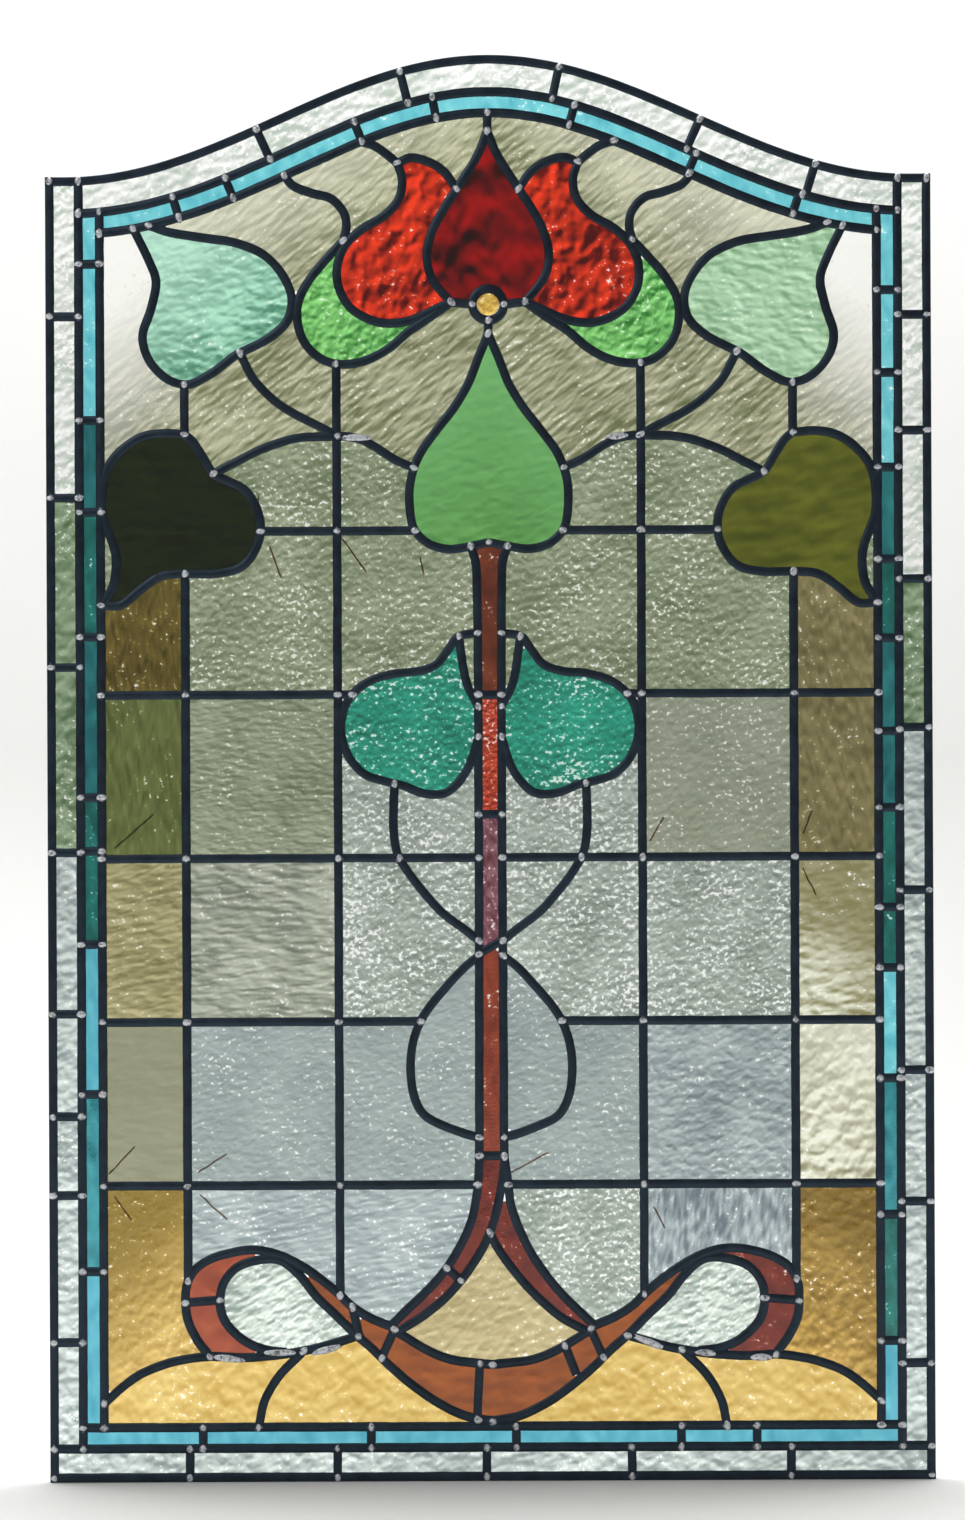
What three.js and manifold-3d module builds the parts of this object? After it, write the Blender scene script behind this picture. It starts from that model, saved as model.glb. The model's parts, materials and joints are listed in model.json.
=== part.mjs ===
// Stained glass window: a leaded panel with an eyebrow-arched top, made to be built into a sash.
// A red flower with green leaves stands on a stem over a ribbon, inside a blue and a clear border.
// The panel stands in the XZ plane with its front to -Y and the middle of its foot at the origin.
import * as THREE from "three";
import { mergeVertices } from "three/addons/utils/BufferGeometryUtils.js";
import Module from "manifold-3d";

const wasm = await Module();
wasm.setup();

// Driving dimensions in millimetres
const PANEL_WIDTH = 610;
const PANEL_HEIGHT = 982;
const ARCH_RISE = 83;
const ARCH_HALF_SPAN = 291;
const CAME_WIDTH = 6;
const CAME_LEAF = 1;
const GLASS_THICKNESS = 3;
const CLEAR_STRIP = 20;
const ARCH_CLEAR_STRIP = 22.5;
const BLUE_STRIP = 14.5;
const STEM_WIDTH = 17;
const JEWEL_RADIUS = 7.6;
const JEWEL_DOME = 3.4;

// How far neighbouring pieces stay apart, and how near a chord keeps to its curve
const CLEARANCE = 0.3;
const CURVE_CHORD = 1.8;
const CURVE_STEPS = 8;
const SPECK = 0.1;
const ARCH_STEPS = 14;
const JEWEL_SIDES = 20;

// The came is as deep as the glass with a leaf of lead on either side of it
const CAME_DEPTH = GLASS_THICKNESS + 2 * (CLEARANCE + CAME_LEAF);
const LEAF_MIDDLE = (CAME_DEPTH - CAME_LEAF) / 2;
const SLOT_WIDTH = CAME_WIDTH + 2 * CLEARANCE;

// Three rails of lead run round the panel: each has its distance from the edges and from the arch
const outerRail = { side: PANEL_WIDTH / 2 - CAME_WIDTH / 2, foot: CAME_WIDTH / 2, depth: CAME_WIDTH / 2 };
const middleRail = {
  side: outerRail.side - CLEAR_STRIP,
  foot: outerRail.foot + CLEAR_STRIP,
  depth: outerRail.depth + ARCH_CLEAR_STRIP,
};
const innerRail = {
  side: middleRail.side - BLUE_STRIP,
  foot: middleRail.foot + BLUE_STRIP,
  depth: middleRail.depth + BLUE_STRIP,
};
const fieldHeight = PANEL_HEIGHT - innerRail.depth - innerRail.foot;

// The field inside the inner rail is drawn in hundredths: across from the middle, and up from its foot
const ARCH = "arch";
const COLUMN = 39.15;
const OUTER_COLUMN = 2 * COLUMN;
const TOP_ROW = 68.2;
const ROW_STEP = 12.45;
const row = (index) => TOP_ROW - index * ROW_STEP;
const STEM = (STEM_WIDTH / 2 / innerRail.side) * 100;
const RING_RADIUS = JEWEL_RADIUS + CLEARANCE + CAME_WIDTH / 2;
const RING_ACROSS = (RING_RADIUS / innerRail.side) * 100;
const RING_UP = (RING_RADIUS / fieldHeight) * 100;
const jewelSpot = [0, 85.4];

// The curved leads of the left half, which the right half mirrors
const halfCurves = {
  upperLeaf: [[-91.3, ARCH], [-87.5, 89], [-85.5, 87.3], [-86.8, 85.2], [-89, 83], [-87.2, 81.2],
    [-82.5, 79.8],
    [-77.5, 79.4], [-71.5, 80.2], [-65, 81.6], [-56, 83], [-51.6, 84.3], [-50.5, 85.8], [-52.2, 87.4],
    [-57, 89.1], [-64, 90.1], [-74, 90.6], [-82, 91], [-87.3, ARCH]],
  outerCurl: [[-52.3, ARCH], [-50, 94.5], [-45, 93.9], [-40.3, 93.5], [-37, 92.4], [-36.4, 91.3],
    [-37.2, 90.3]],
  innerCurl: [[-32.5, ARCH], [-29, 97.5], [-25.2, 96.7], [-23.2, 96.2]],
  petalTop: [[-8, 94.2], [-11.1, 95.5], [-15.3, 96.3], [-19.8, 96.6], [-23.2, 96.2]],
  petalSide: [[-23.2, 96.2], [-22, 95], [-22.8, 93.5], [-26.6, 92.2], [-32.3, 91.2], [-36.6, 90],
    [-38.7, 88.5],
    [-38.5, 86.8], [-35.8, 85.3], [-31.4, 84.4], [-26.4, 84], [-20.4, 84.2], [-14, 85], [-9.5, 85.6]],
  centrePetal: [[0, 98.6], [-2.5, 96.8], [-8, 94.2], [-11.3, 92.7], [-14.3, 91], [-15.7, 89.3], [-14.9, 87.7],
    [-12, 86.4], [-9.5, 85.6]],
  sepal: [[-37.2, 90.3], [-41.3, 89], [-45.8, 87.4], [-48.8, 85.7], [-49, 84], [-47.2, 82.5], [-43, 81.3],
    [-38.4, 80.9], [-32.3, 81.1], [-26, 82], [-20.4, 83.4], [-14.2, 84.6], [-9.5, 85.6]],
  heartLeaf: [[0, 83.2], [-2.4, 81.5], [-5.2, 79.4], [-8.8, 77.6], [-13.8, 75.7], [-18, 73.9], [-20.2, 71.9],
    [-20.4, 70], [-19.2, 68.3], [-15.5, 67.2], [-10.4, 66.8], [-4.8, 67], [0, 67.3]],
  sideLeafBack: [[-OUTER_COLUMN, 75.6], [-84, 75.7], [-89.5, 75.4], [-95, 74.3], [-98.4, 72.9],
    [-99.6, 71.2], [-99.4, 69.3],
    [-97.6, 67.9], [-96.2, 66.6], [-96.1, 65.3], [-97, 64], [-99.4, 62.8]],
  sideLeafFront: [[-99.4, 62.6], [-95, 62.6], [-89.8, 63.8], [-84.6, 64.8], [-OUTER_COLUMN, 65],
    [-70, 65], [-63.8, 65.5],
    [-60.2, 66.8], [-58.8, 68.2], [-59.4, 69.7], [-62.6, 71.3], [-67.5, 72.1], [-70.8, 72.6],
    [-73.6, 73.9], [-76.3, 75.1], [-OUTER_COLUMN, 75.6]],
  shoulderArc: [[-70.8, 72.6], [-65, 73.5], [-58.9, 74.4], [-50.7, 75.2], [-43, 75.4], [-34.5, 75.3],
    [-29.8, 74.7],
    [-24.6, 73.7], [-19.4, 73]],
  lowerCurl: [[-64, 81.8], [-60.2, 79.7], [-55.3, 78.2], [-49.8, 77.1], [-43.1, 76.1], [-COLUMN, 75.5]],
  lowerLeaf: [[-STEM, 60.4], [-8.2, 60.1], [-10.5, 59.2], [-13.8, 58], [-18.5, 57.5], [-25, 57.3],
    [-30.6, 56.8],
    [-34.6, 56], [-37.4, 54.8], [-38.3, 52.8], [-36.3, 51], [-32.3, 49.7], [-26.7, 49.1],
    [-22.4, 48.8], [-17.3, 48.2], [-11.7, 48.2], [-8.2, 49], [-5.2, 50.4], [-STEM, 52.3]],
  lowerLeafTip: [[-7.9, 60.1], [-7.3, 58.8], [-6.7, 57.6], [-5.6, 56.3], [-STEM, 54.9]],
  stemCurl: [[-24.6, 48.9], [-24.9, 47.2], [-24.9, 45.4], [-23.9, 43.6], [-21.6, 42.4], [-17.6, 40.8],
    [-12.4, 39.1], [-6.6, 37.8], [-STEM, 37]],
  stemLoop: [[-STEM, 35.8], [-6.6, 35], [-11.1, 33.6], [-15.7, 32], [-18.6, 30.6], [-20.3, 29], [-20.8, 27],
    [-19.9, 25.1], [-17.3, 23.7], [-12.4, 22.9], [-6, 22.2], [-STEM, 22]],
  ribbonLoop: [[-72.8, 5.4], [-76.1, 6.7], [-78.4, 8.1], [-79, 9.6], [-78.6, 10.9], [-76.6, 12],
    [-72.6, 12.8],
    [-67.2, 13.3], [-61.2, 13.5], [-54.7, 13.1], [-49.3, 12.3], [-43.9, 11.2], [-39.8, 10.2],
    [-36.3, 9.2], [-31.5, 8.3], [-25, 7.5]],
  teardrop: [[-34.8, 6.9], [-40.6, 8.6], [-45.5, 10], [-49.8, 11.6], [-54.7, 12.7], [-60.6, 12.7],
    [-66.1, 12.1],
    [-69.3, 10.9], [-70.1, 9.5], [-69.4, 8.4], [-67.7, 7.6], [-63.4, 6.5], [-58.5, 5.9], [-53, 5.7]],
  ground: [[-99.8, 1.9], [-95.3, 3.1], [-90.5, 4.1], [-84.5, 4.8], [-79, 5.2], [-72.8, 5.4], [-65, 5.3],
    [-58.5, 5.4], [-50.5, 5.7], [-44, 6.1], [-34.8, 6.9]],
  ribbonFoot: [[-34.8, 6.9], [-30.5, 5.8], [-26, 4.5], [-20, 3], [-13.5, 1.7], [-7, 0.8], [0, 0.4]],
  ribbonTop: [[-24.5, 7.2], [-17.3, 5.9], [-10.8, 5.1], [0, 4.7]],
};

// The stem, its foot that sweeps to the left and the branch that leaves it to the right
const stemCurves = {
  leftLead: [[-STEM - 1.4, 66.9], [-STEM - 0.3, 65.8], [-STEM, 64], [-STEM, 22.5], [-STEM - 0.1, 19.8],
    [-4, 17.5],
    [-5.5, 15.5], [-8.8, 13.4], [-12.9, 11.6], [-17.6, 10.1], [-22, 8.9], [-26, 7.7]],
  rightLead: [[STEM + 1.4, 66.9], [STEM + 0.3, 65.8], [STEM, 64], [STEM, 22.5], [STEM, 20], [2.3, 18],
    [0.9, 16.1],
    [-1, 14.4], [-3.8, 12.9], [-7.3, 11.4], [-11.4, 10], [-17, 8.6], [-24.5, 7.2]],
  branchOuter: [[STEM, 20.6], [4.2, 18.4], [4.9, 16.8], [6.9, 15.1], [10, 13.2], [14.1, 11.4], [18.4, 9.9],
    [22.5, 8.7], [26, 7.7]],
  branchInner: [[-0.6, 14.8], [1.2, 13.7], [4.1, 12.4], [8.5, 10.8], [13.2, 9.4], [18.1, 8.2], [24.5, 7.2]],
};

// Straight leads that part two panes, on the left and mirrored
const halfBars = [
  [[-OUTER_COLUMN, 79.4], [-OUTER_COLUMN, 75.6]],
  [[-OUTER_COLUMN, 65], [-OUTER_COLUMN, 11.2]],
  [[-COLUMN, 80.9], [-COLUMN, 10.1]],
  [[-100, row(4)], [-OUTER_COLUMN, row(4)]],
  [[-9.5, 85.6], [-RING_ACROSS, jewelSpot[1]]],
  [[-55.5, 13.1], [-55.5, 12.7]],
];

// Straight leads on the middle line
const middleBars = [
  [[0, 98.4], [0, ARCH]],
  [[0, jewelSpot[1] - RING_UP], [0, 83]],
];

// Leads that lie over one run of glass, as both its pieces are of one kind
const halfCrossBars = [
  [[-58.8, row(0)], [-19.2, row(0)]],
  [[-100, row(1)], [-34.5, row(1)]],
  [[-100, row(2)], [-STEM, row(2)]],
  [[-100, row(3)], [-18.4, row(3)]],
  [[-OUTER_COLUMN, row(4)], [-STEM - 0.6, row(4)]],
  [[-79, 9.5], [-70.1, 9.7]],
  [[-25.4, 7.3], [-28.6, 5.2]],
  [[-49, 5.7], [-55, 3.9], [-58.8, 2], [-60.3, 0]],
];
const singleCrossBars = [
  [[-STEM, 55.7], [STEM, 55.7]],
  [[-STEM, 46.6], [STEM, 46.6]],
  [[-STEM, 36], [STEM, 37]],
  [[-STEM, 20.6], [STEM, 20.6]],
  [[-11.4, 12], [-8, 11.1]],
  [[-3.3, 4.7], [-4, 0.8]],
  [[18.5, 6.2], [21, 4.3]],
  [[-36, 9.1], [-34.2, 6.8]],
];

// Where short leads part the pieces of the two borders: up the sides, and across the foot and the arch
const borderJoints = {
  blueLeft: [88.6, 76.7, 69.7, 60.2, 48, 43.9, 36.8, 25.4, 11.9],
  blueRight: [86.4, 80.1, 72.9, 65.9, 59.9, 52.8, 47, 39.4, 34.8, 26.4, 16, 6.4],
  clearLeft: [84.6, 70.8, 57.9, 43.8, 31.5, 23.7, 17.7, 6.5],
  clearRight: [84.5, 75.7, 64.4, 53.1, 40.7, 27, 17, 4.7],
  blueArch: [-79.5, -65.5, -32.3, -13.2, 21, 51.5, 78.5],
  clearArch: [-56, -20.4, 16.7, 51.2, 81.8],
  blueFoot: [-74.6, -31.3, 6, 48.5, 68],
  clearFoot: [-78, -40, -1.6, 35.8, 76.8],
};

// Height of a line that lies a given depth below the arched top edge
function archHeight(x, depth) {
  const turn = (Math.PI * Math.min(Math.abs(x), ARCH_HALF_SPAN)) / ARCH_HALF_SPAN;
  const slope = ((ARCH_RISE / 2) * Math.PI * Math.sin(turn)) / ARCH_HALF_SPAN;
  return PANEL_HEIGHT - (ARCH_RISE * (1 - Math.cos(turn))) / 2 - depth * Math.hypot(1, slope);
}

// A place on the panel from its hundredths of the field
function place([across, up]) {
  const x = (across * innerRail.side) / 100;
  const z = up === ARCH ? archHeight(x, innerRail.depth) : innerRail.foot + (up * fieldHeight) / 100;
  return new THREE.Vector2(x, z);
}

const mirrored = (path) => path.map(([across, up]) => [-across, up]);
const bothSides = (paths) => [...paths, ...paths.map(mirrored)];

// Points along a smooth curve, no more than the chord needs
function smooth(path) {
  const through = path.map(place).map((p) => new THREE.Vector3(p.x, p.y, 0));
  const curve = new THREE.CatmullRomCurve3(through, false, "centripetal");
  const fine = curve.getPoints((path.length - 1) * CURVE_STEPS);
  return thinned(fine).map((p) => new THREE.Vector2(p.x, p.y));
}

function thinned(points) {
  const line = new THREE.Line3(points[0], points.at(-1));
  const strays = points.map((p) => line.closestPointToPoint(p, true, new THREE.Vector3()).distanceTo(p));
  const worst = Math.max(...strays);
  if (worst <= CURVE_CHORD) return [points[0], points.at(-1)];
  const turn = strays.indexOf(worst);
  return [...thinned(points.slice(0, turn + 1)), ...thinned(points.slice(turn)).slice(1)];
}

// Outline of a band that follows a line of points
function bandOutline(points, width) {
  const sideAt = (index) => {
    const before = points[Math.max(index - 1, 0)];
    const after = points[Math.min(index + 1, points.length - 1)];
    const here = points[index];
    const ahead = after.clone().sub(here);
    const behind = here.clone().sub(before);
    if (index === 0) behind.copy(ahead);
    if (index === points.length - 1) ahead.copy(behind);
    const along = ahead.normalize().add(behind.normalize());
    const spread = 2 / Math.max(along.lengthSq(), 1);
    return new THREE.Vector2(-along.y, along.x).multiplyScalar((spread * width) / 2);
  };
  const sides = points.map((_, index) => sideAt(index));
  const left = points.map((p, index) => p.clone().add(sides[index]));
  const right = points.map((p, index) => p.clone().sub(sides[index]));
  return [...left, ...right.reverse()];
}

// Outline of the panel at a rail, moved inwards by a distance
function railOutline(rail, inwards) {
  const side = rail.side - inwards;
  const foot = rail.foot + inwards;
  const points = [new THREE.Vector2(-side, foot), new THREE.Vector2(side, foot)];
  for (let step = 0; step <= ARCH_STEPS; step += 1) {
    const x = side - (2 * side * step) / ARCH_STEPS;
    points.push(new THREE.Vector2(x, archHeight(x, rail.depth + inwards)));
  }
  return points;
}

// A flat plate of an outline, centred at a depth across the panel
function plate(outline, thickness, middle, holes = []) {
  const shape = new THREE.Shape(outline);
  shape.holes = holes.map((hole) => new THREE.Path(hole));
  const geometry = new THREE.ExtrudeGeometry(shape, { depth: thickness, bevelEnabled: false });
  geometry.rotateX(Math.PI / 2);
  geometry.translate(0, middle + thickness / 2, 0);
  return solid(geometry);
}

function solid(geometry) {
  const bare = geometry.clone();
  bare.deleteAttribute("normal");
  bare.deleteAttribute("uv");
  const merged = mergeVertices(bare, 1e-4);
  return new wasm.Manifold(
    new wasm.Mesh({
      numProp: 3,
      vertProperties: new Float32Array(merged.attributes.position.array),
      triVerts: new Uint32Array(merged.index.array),
    }),
  );
}

function geometryOf(manifold) {
  const mesh = manifold.getMesh();
  const geometry = new THREE.BufferGeometry();
  geometry.setAttribute("position", new THREE.BufferAttribute(new Float32Array(mesh.vertProperties), 3));
  geometry.setIndex(new THREE.BufferAttribute(new Uint32Array(mesh.triVerts), 1));
  return geometry;
}

// Lead between the rails: the ends of a border joint reach the middle of each rail
function sideJoint(side, up, from, to) {
  const z = place([0, up]).y;
  return [new THREE.Vector2(side * from.side, z), new THREE.Vector2(side * to.side, z)];
}

function footJoint(across, from, to) {
  const { x } = place([across, 0]);
  return [new THREE.Vector2(x, from.foot), new THREE.Vector2(x, to.foot)];
}

function archJoint(across, from, to) {
  const { x } = place([across, 0]);
  const lean = (archHeight(x + 1, to.depth) - archHeight(x - 1, to.depth)) / 2;
  const lower = new THREE.Vector2(x, archHeight(x, from.depth));
  const upwards = new THREE.Vector2(-lean, 1).normalize();
  return [lower, lower.clone().add(upwards.multiplyScalar(from.depth - to.depth))];
}

const borderBars = [
  ...borderJoints.blueLeft.map((up) => sideJoint(-1, up, innerRail, middleRail)),
  ...borderJoints.blueRight.map((up) => sideJoint(1, up, innerRail, middleRail)),
  ...borderJoints.clearLeft.map((up) => sideJoint(-1, up, middleRail, outerRail)),
  ...borderJoints.clearRight.map((up) => sideJoint(1, up, middleRail, outerRail)),
  ...borderJoints.blueFoot.map((across) => footJoint(across, innerRail, middleRail)),
  ...borderJoints.clearFoot.map((across) => footJoint(across, middleRail, outerRail)),
  ...borderJoints.blueArch.map((across) => archJoint(across, innerRail, middleRail)),
  ...borderJoints.clearArch.map((across) => archJoint(across, middleRail, outerRail)),
];

// Where two borders meet at a corner, a rail runs on to the next one
function cornerBars(rail, next) {
  return [-1, 1].flatMap((side) => {
    const x = side * rail.side;
    return [
      [new THREE.Vector2(x, archHeight(x, rail.depth)), new THREE.Vector2(x, archHeight(x, next.depth))],
      [new THREE.Vector2(x, rail.foot), new THREE.Vector2(side * next.side, rail.foot)],
    ];
  });
}

const rails = [outerRail, middleRail, innerRail];
const corners = [...cornerBars(middleRail, outerRail), ...cornerBars(innerRail, middleRail)];

// The jewel's round lead
function ringOutline(radius) {
  const { x, y } = place(jewelSpot);
  return new THREE.Path().absarc(x, y, radius, 0, 2 * Math.PI).getPoints(JEWEL_SIDES).slice(0, -1);
}

// Every lead that parts two panes, as bands of one width
function leads(width, thickness) {
  const curves = [...bothSides(Object.values(halfCurves)), ...Object.values(stemCurves)].map(smooth);
  const bars = [...bothSides(halfBars), ...middleBars].map((path) => path.map(place));
  const outlines = [...curves, ...bars, ...corners].map((points) => bandOutline(points, width));
  const bands = outlines.map((outline) => plate(outline, thickness, 0));
  const ring = [RING_RADIUS + width / 2, RING_RADIUS - width / 2].map(ringOutline);
  const loops = rails.map((rail) => [railOutline(rail, -width / 2), railOutline(rail, width / 2)]);
  return [...bands, ...[ring, ...loops].map(([outside, inside]) => plate(outside, thickness, 0, [inside]))];
}

// A lead over a run of glass has a leaf in front and one behind, and a border joint its front leaf
const crossLines = [...bothSides(halfCrossBars), ...singleCrossBars].map(smooth);
const leaf = (middle) => (points) => plate(bandOutline(points, CAME_WIDTH), CAME_LEAF, middle);
const leaves = [
  ...[...crossLines, ...borderBars].map(leaf(-LEAF_MIDDLE)),
  ...crossLines.map(leaf(LEAF_MIDDLE)),
];
const joined = wasm.Manifold.union([...leads(CAME_WIDTH, CAME_DEPTH), ...leaves]);
const leadNet = joined.asOriginal().simplify(SPECK);

// The glass is one plate, parted along every lead
const sheet = plate(railOutline(outerRail, 0), GLASS_THICKNESS, 0);
const slots = wasm.Manifold.union(leads(SLOT_WIDTH, CAME_DEPTH));
const panes = sheet.subtract(slots).asOriginal().simplify(SPECK).decompose().map(geometryOf);

// The pane that lies at a place, from the triangles of its front
function paneAt(spot) {
  const target = place(spot);
  return panes.find((geometry) => {
    const { position } = geometry.attributes;
    const corner = (index) => new THREE.Vector3(position.getX(index), position.getZ(index), 0);
    const front = (index) => position.getY(index) < 0;
    const point = new THREE.Vector3(target.x, target.y, 0);
    for (let i = 0; i < geometry.index.count; i += 3) {
      const ids = [0, 1, 2].map((k) => geometry.index.getX(i + k));
      if (ids.every(front) && new THREE.Triangle(...ids.map(corner)).containsPoint(point)) return true;
    }
    return false;
  });
}

const spotX = (rail, next) => (((rail.side + next.side) / 2) / innerRail.side) * 100;
const spotUp = (height) => ((height - innerRail.foot) / fieldHeight) * 100;
const footUp = (rail, next) => spotUp((rail.foot + next.foot) / 2);
const archUp = (rail, next) => spotUp(archHeight(0, (rail.depth + next.depth) / 2));

const glassKinds = {
  clear: { color: 0xaebcab, roughness: 0.25, metalness: 0 },
  olive: { color: 0x8d8a5e, roughness: 0.3, metalness: 0 },
  turquoise: { color: 0x3fa3b4, roughness: 0.2, metalness: 0 },
  ruby: { color: 0xa01008, roughness: 0.2, metalness: 0 },
  deepRuby: { color: 0x5a0505, roughness: 0.2, metalness: 0 },
  green: { color: 0x4b9a45, roughness: 0.25, metalness: 0 },
  mint: { color: 0x9ad4b4, roughness: 0.25, metalness: 0 },
  darkOlive: { color: 0x2c340c, roughness: 0.3, metalness: 0 },
  teal: { color: 0x2f9a80, roughness: 0.25, metalness: 0 },
  brown: { color: 0x6e2c20, roughness: 0.25, metalness: 0 },
  rust: { color: 0x8c4014, roughness: 0.25, metalness: 0 },
  amber: { color: 0xd8b860, roughness: 0.3, metalness: 0 },
  gold: { color: 0xc09430, roughness: 0.15, metalness: 0 },
};

// Panes of the left half by name, with a place inside each
const pairedPanes = [
  ["petal", "ruby", [-30, 88]],
  ["sepal", "green", [-44, 84]],
  ["upper_leaf", "mint", [-70, 86]],
  ["side_leaf", "darkOlive", [-80, 70]],
  ["lower_leaf", "teal", [-22, 53]],
  ["ribbon_loop", "brown", [-75, 8]],
  ["teardrop", "clear", [-58, 9]],
  ["amber_corner", "amber", [-90, 10]],
  ["amber_ground", "amber", [-80, 3]],
  ["side_top_pane", "olive", [-94, 82]],
  ["top_outer_pane", "clear", [-58, 92]],
  ["top_middle_pane", "clear", [-38, 96]],
  ["top_inner_pane", "clear", [-14, 98]],
  ["pane_over_curl", "olive", [-50, 80]],
  ["pane_under_curl", "olive", [-62, 78]],
  ["pane_beside_heart", "olive", [-25, 79]],
  ["outer_column", "clear", [-60, 60]],
  ["inner_upper_pane", "clear", [-28, 62]],
  ["side_column", "olive", [-90, 50]],
  ["inner_column", "clear", [-34, 36]],
  ["inner_wedge", "clear", [-12, 44]],
  ["stem_loop_pane", "clear", [-12, 28]],
];
const singlePanes = [
  ["petal_centre", "deepRuby", [0, 91]],
  ["heart_leaf", "green", [0, 72]],
  ["stem", "brown", [0, 50]],
  ["stem_branch", "brown", [10, 12.2]],
  ["ribbon_bow", "rust", [-14, 3.7]],
  ["amber_centre", "amber", [0, 9]],
  ["blue_border_left", "turquoise", [-spotX(innerRail, middleRail), 50]],
  ["blue_border_right", "turquoise", [spotX(innerRail, middleRail), 50]],
  ["blue_border_foot", "turquoise", [0.5, footUp(innerRail, middleRail)]],
  ["blue_border_arch", "turquoise", [0.5, archUp(innerRail, middleRail)]],
  ["clear_border_left", "clear", [-spotX(middleRail, outerRail), 50]],
  ["clear_border_right", "clear", [spotX(middleRail, outerRail), 50]],
  ["clear_border_foot", "clear", [0.5, footUp(middleRail, outerRail)]],
  ["clear_border_arch", "clear", [0.5, archUp(middleRail, outerRail)]],
];

const panel = new THREE.Group();

function addPiece(name, geometry, finish) {
  const piece = new THREE.Mesh(geometry, new THREE.MeshStandardMaterial(finish));
  piece.name = name;
  panel.add(piece);
}

addPiece("lead_came_net", geometryOf(leadNet), { color: 0x252c33, roughness: 0.55, metalness: 0.6 });
pairedPanes.forEach(([name, kind, spot]) => {
  addPiece(`${name}_left`, paneAt(spot), glassKinds[kind]);
  addPiece(`${name}_right`, paneAt(mirrored([spot])[0]), glassKinds[kind]);
});
singlePanes.forEach(([name, kind, spot]) => addPiece(name, paneAt(spot), glassKinds[kind]));

// The jewel is a round cabochon whose edge sits in the ring's channel
function jewel() {
  const edge = GLASS_THICKNESS / 2;
  const profile = [
    [0, -edge],
    [JEWEL_RADIUS, -edge],
    [JEWEL_RADIUS, edge],
    [JEWEL_RADIUS * 0.94, edge + JEWEL_DOME * 0.45],
    [JEWEL_RADIUS * 0.6, edge + JEWEL_DOME * 0.88],
    [0, edge + JEWEL_DOME],
  ].map(([radius, height]) => new THREE.Vector2(radius, height));
  const geometry = new THREE.LatheGeometry(profile, JEWEL_SIDES);
  geometry.rotateX(Math.PI);
  return geometryOf(solid(geometry));
}

addPiece("jewel", jewel(), glassKinds.gold);
panel.getObjectByName("jewel").position.set(0, 0, place(jewelSpot).y);

export default panel;
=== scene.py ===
"""Stained glass window: lead cames, solder, copper ties, textured panes and the studio it stands in."""
import json
import math
import random

import bmesh
import bpy
from bpy.props import FloatProperty, FloatVectorProperty, PointerProperty
from mathutils import Matrix, Vector, kdtree, noise
from mathutils.bvhtree import BVHTree
from mathutils.geometry import delaunay_2d_cdt


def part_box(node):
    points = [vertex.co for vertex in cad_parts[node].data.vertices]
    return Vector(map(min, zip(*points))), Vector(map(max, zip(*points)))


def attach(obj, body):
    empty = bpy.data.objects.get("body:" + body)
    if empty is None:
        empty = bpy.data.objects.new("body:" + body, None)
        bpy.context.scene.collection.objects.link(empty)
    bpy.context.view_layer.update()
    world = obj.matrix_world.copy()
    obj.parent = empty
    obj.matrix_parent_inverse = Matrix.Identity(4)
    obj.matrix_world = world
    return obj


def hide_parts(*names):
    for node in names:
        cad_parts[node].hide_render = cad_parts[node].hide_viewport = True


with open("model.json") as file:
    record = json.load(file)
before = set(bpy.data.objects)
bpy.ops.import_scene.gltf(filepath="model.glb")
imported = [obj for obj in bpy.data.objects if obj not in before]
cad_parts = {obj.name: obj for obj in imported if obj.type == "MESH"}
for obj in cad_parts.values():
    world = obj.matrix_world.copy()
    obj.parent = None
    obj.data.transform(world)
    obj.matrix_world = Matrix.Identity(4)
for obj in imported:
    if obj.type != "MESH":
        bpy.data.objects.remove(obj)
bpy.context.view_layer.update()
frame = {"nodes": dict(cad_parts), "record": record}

bl_info = {
    "name": "Stained glass window",
    "version": (1, 0, 0),
    "blender": (4, 5, 0),
    "location": "3D Viewport > Sidebar > Window",
    "description": "Builds a leaded glass window from its drawn lines",
    "category": "Add Mesh",
}

# The panel is drawn in millimetres: x across from the middle, z up from the foot, y back from the front
MM = 0.001
panel_low, panel_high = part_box("lead_came_net")
PANEL_WIDTH = (panel_high.x - panel_low.x) / MM
PANEL_HEIGHT = panel_high.z / MM
PANEL_DEPTH = (panel_high.y - panel_low.y) / MM
ARCH_RISE = 83
ARCH_HALF_SPAN = 291
CAME_HALF = 3
GLASS_THICKNESS = 3
HEART_HALF = 0.75
CLEAR_STRIP = 20
ARCH_CLEAR_STRIP = 22.5
BLUE_STRIP = 14.5

# Each rail of lead: its distance from the middle, from the foot and from the arched top edge
OUTER_RAIL = {"side": PANEL_WIDTH / 2 - CAME_HALF, "foot": CAME_HALF, "depth": CAME_HALF}
MIDDLE_RAIL = {
    "side": OUTER_RAIL["side"] - CLEAR_STRIP,
    "foot": OUTER_RAIL["foot"] + CLEAR_STRIP,
    "depth": OUTER_RAIL["depth"] + ARCH_CLEAR_STRIP,
}
INNER_RAIL = {
    "side": MIDDLE_RAIL["side"] - BLUE_STRIP,
    "foot": MIDDLE_RAIL["foot"] + BLUE_STRIP,
    "depth": MIDDLE_RAIL["depth"] + BLUE_STRIP,
}
FIELD_HEIGHT = PANEL_HEIGHT - INNER_RAIL["depth"] - INNER_RAIL["foot"]

# The field inside the inner rail is drawn in hundredths: across from the middle, and up from its foot
ARCH = "arch"
COLUMN = 39.15
OUTER_COLUMN = 2 * COLUMN
STEM = 3.18
ROWS = [68.2 - 12.45 * row for row in range(5)]
JEWEL_SPOT = (0, 85.4)
RING_RADIUS = 10.9
RING_ACROSS = RING_RADIUS / INNER_RAIL["side"] * 100
RING_UP = RING_RADIUS / FIELD_HEIGHT * 100

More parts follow.
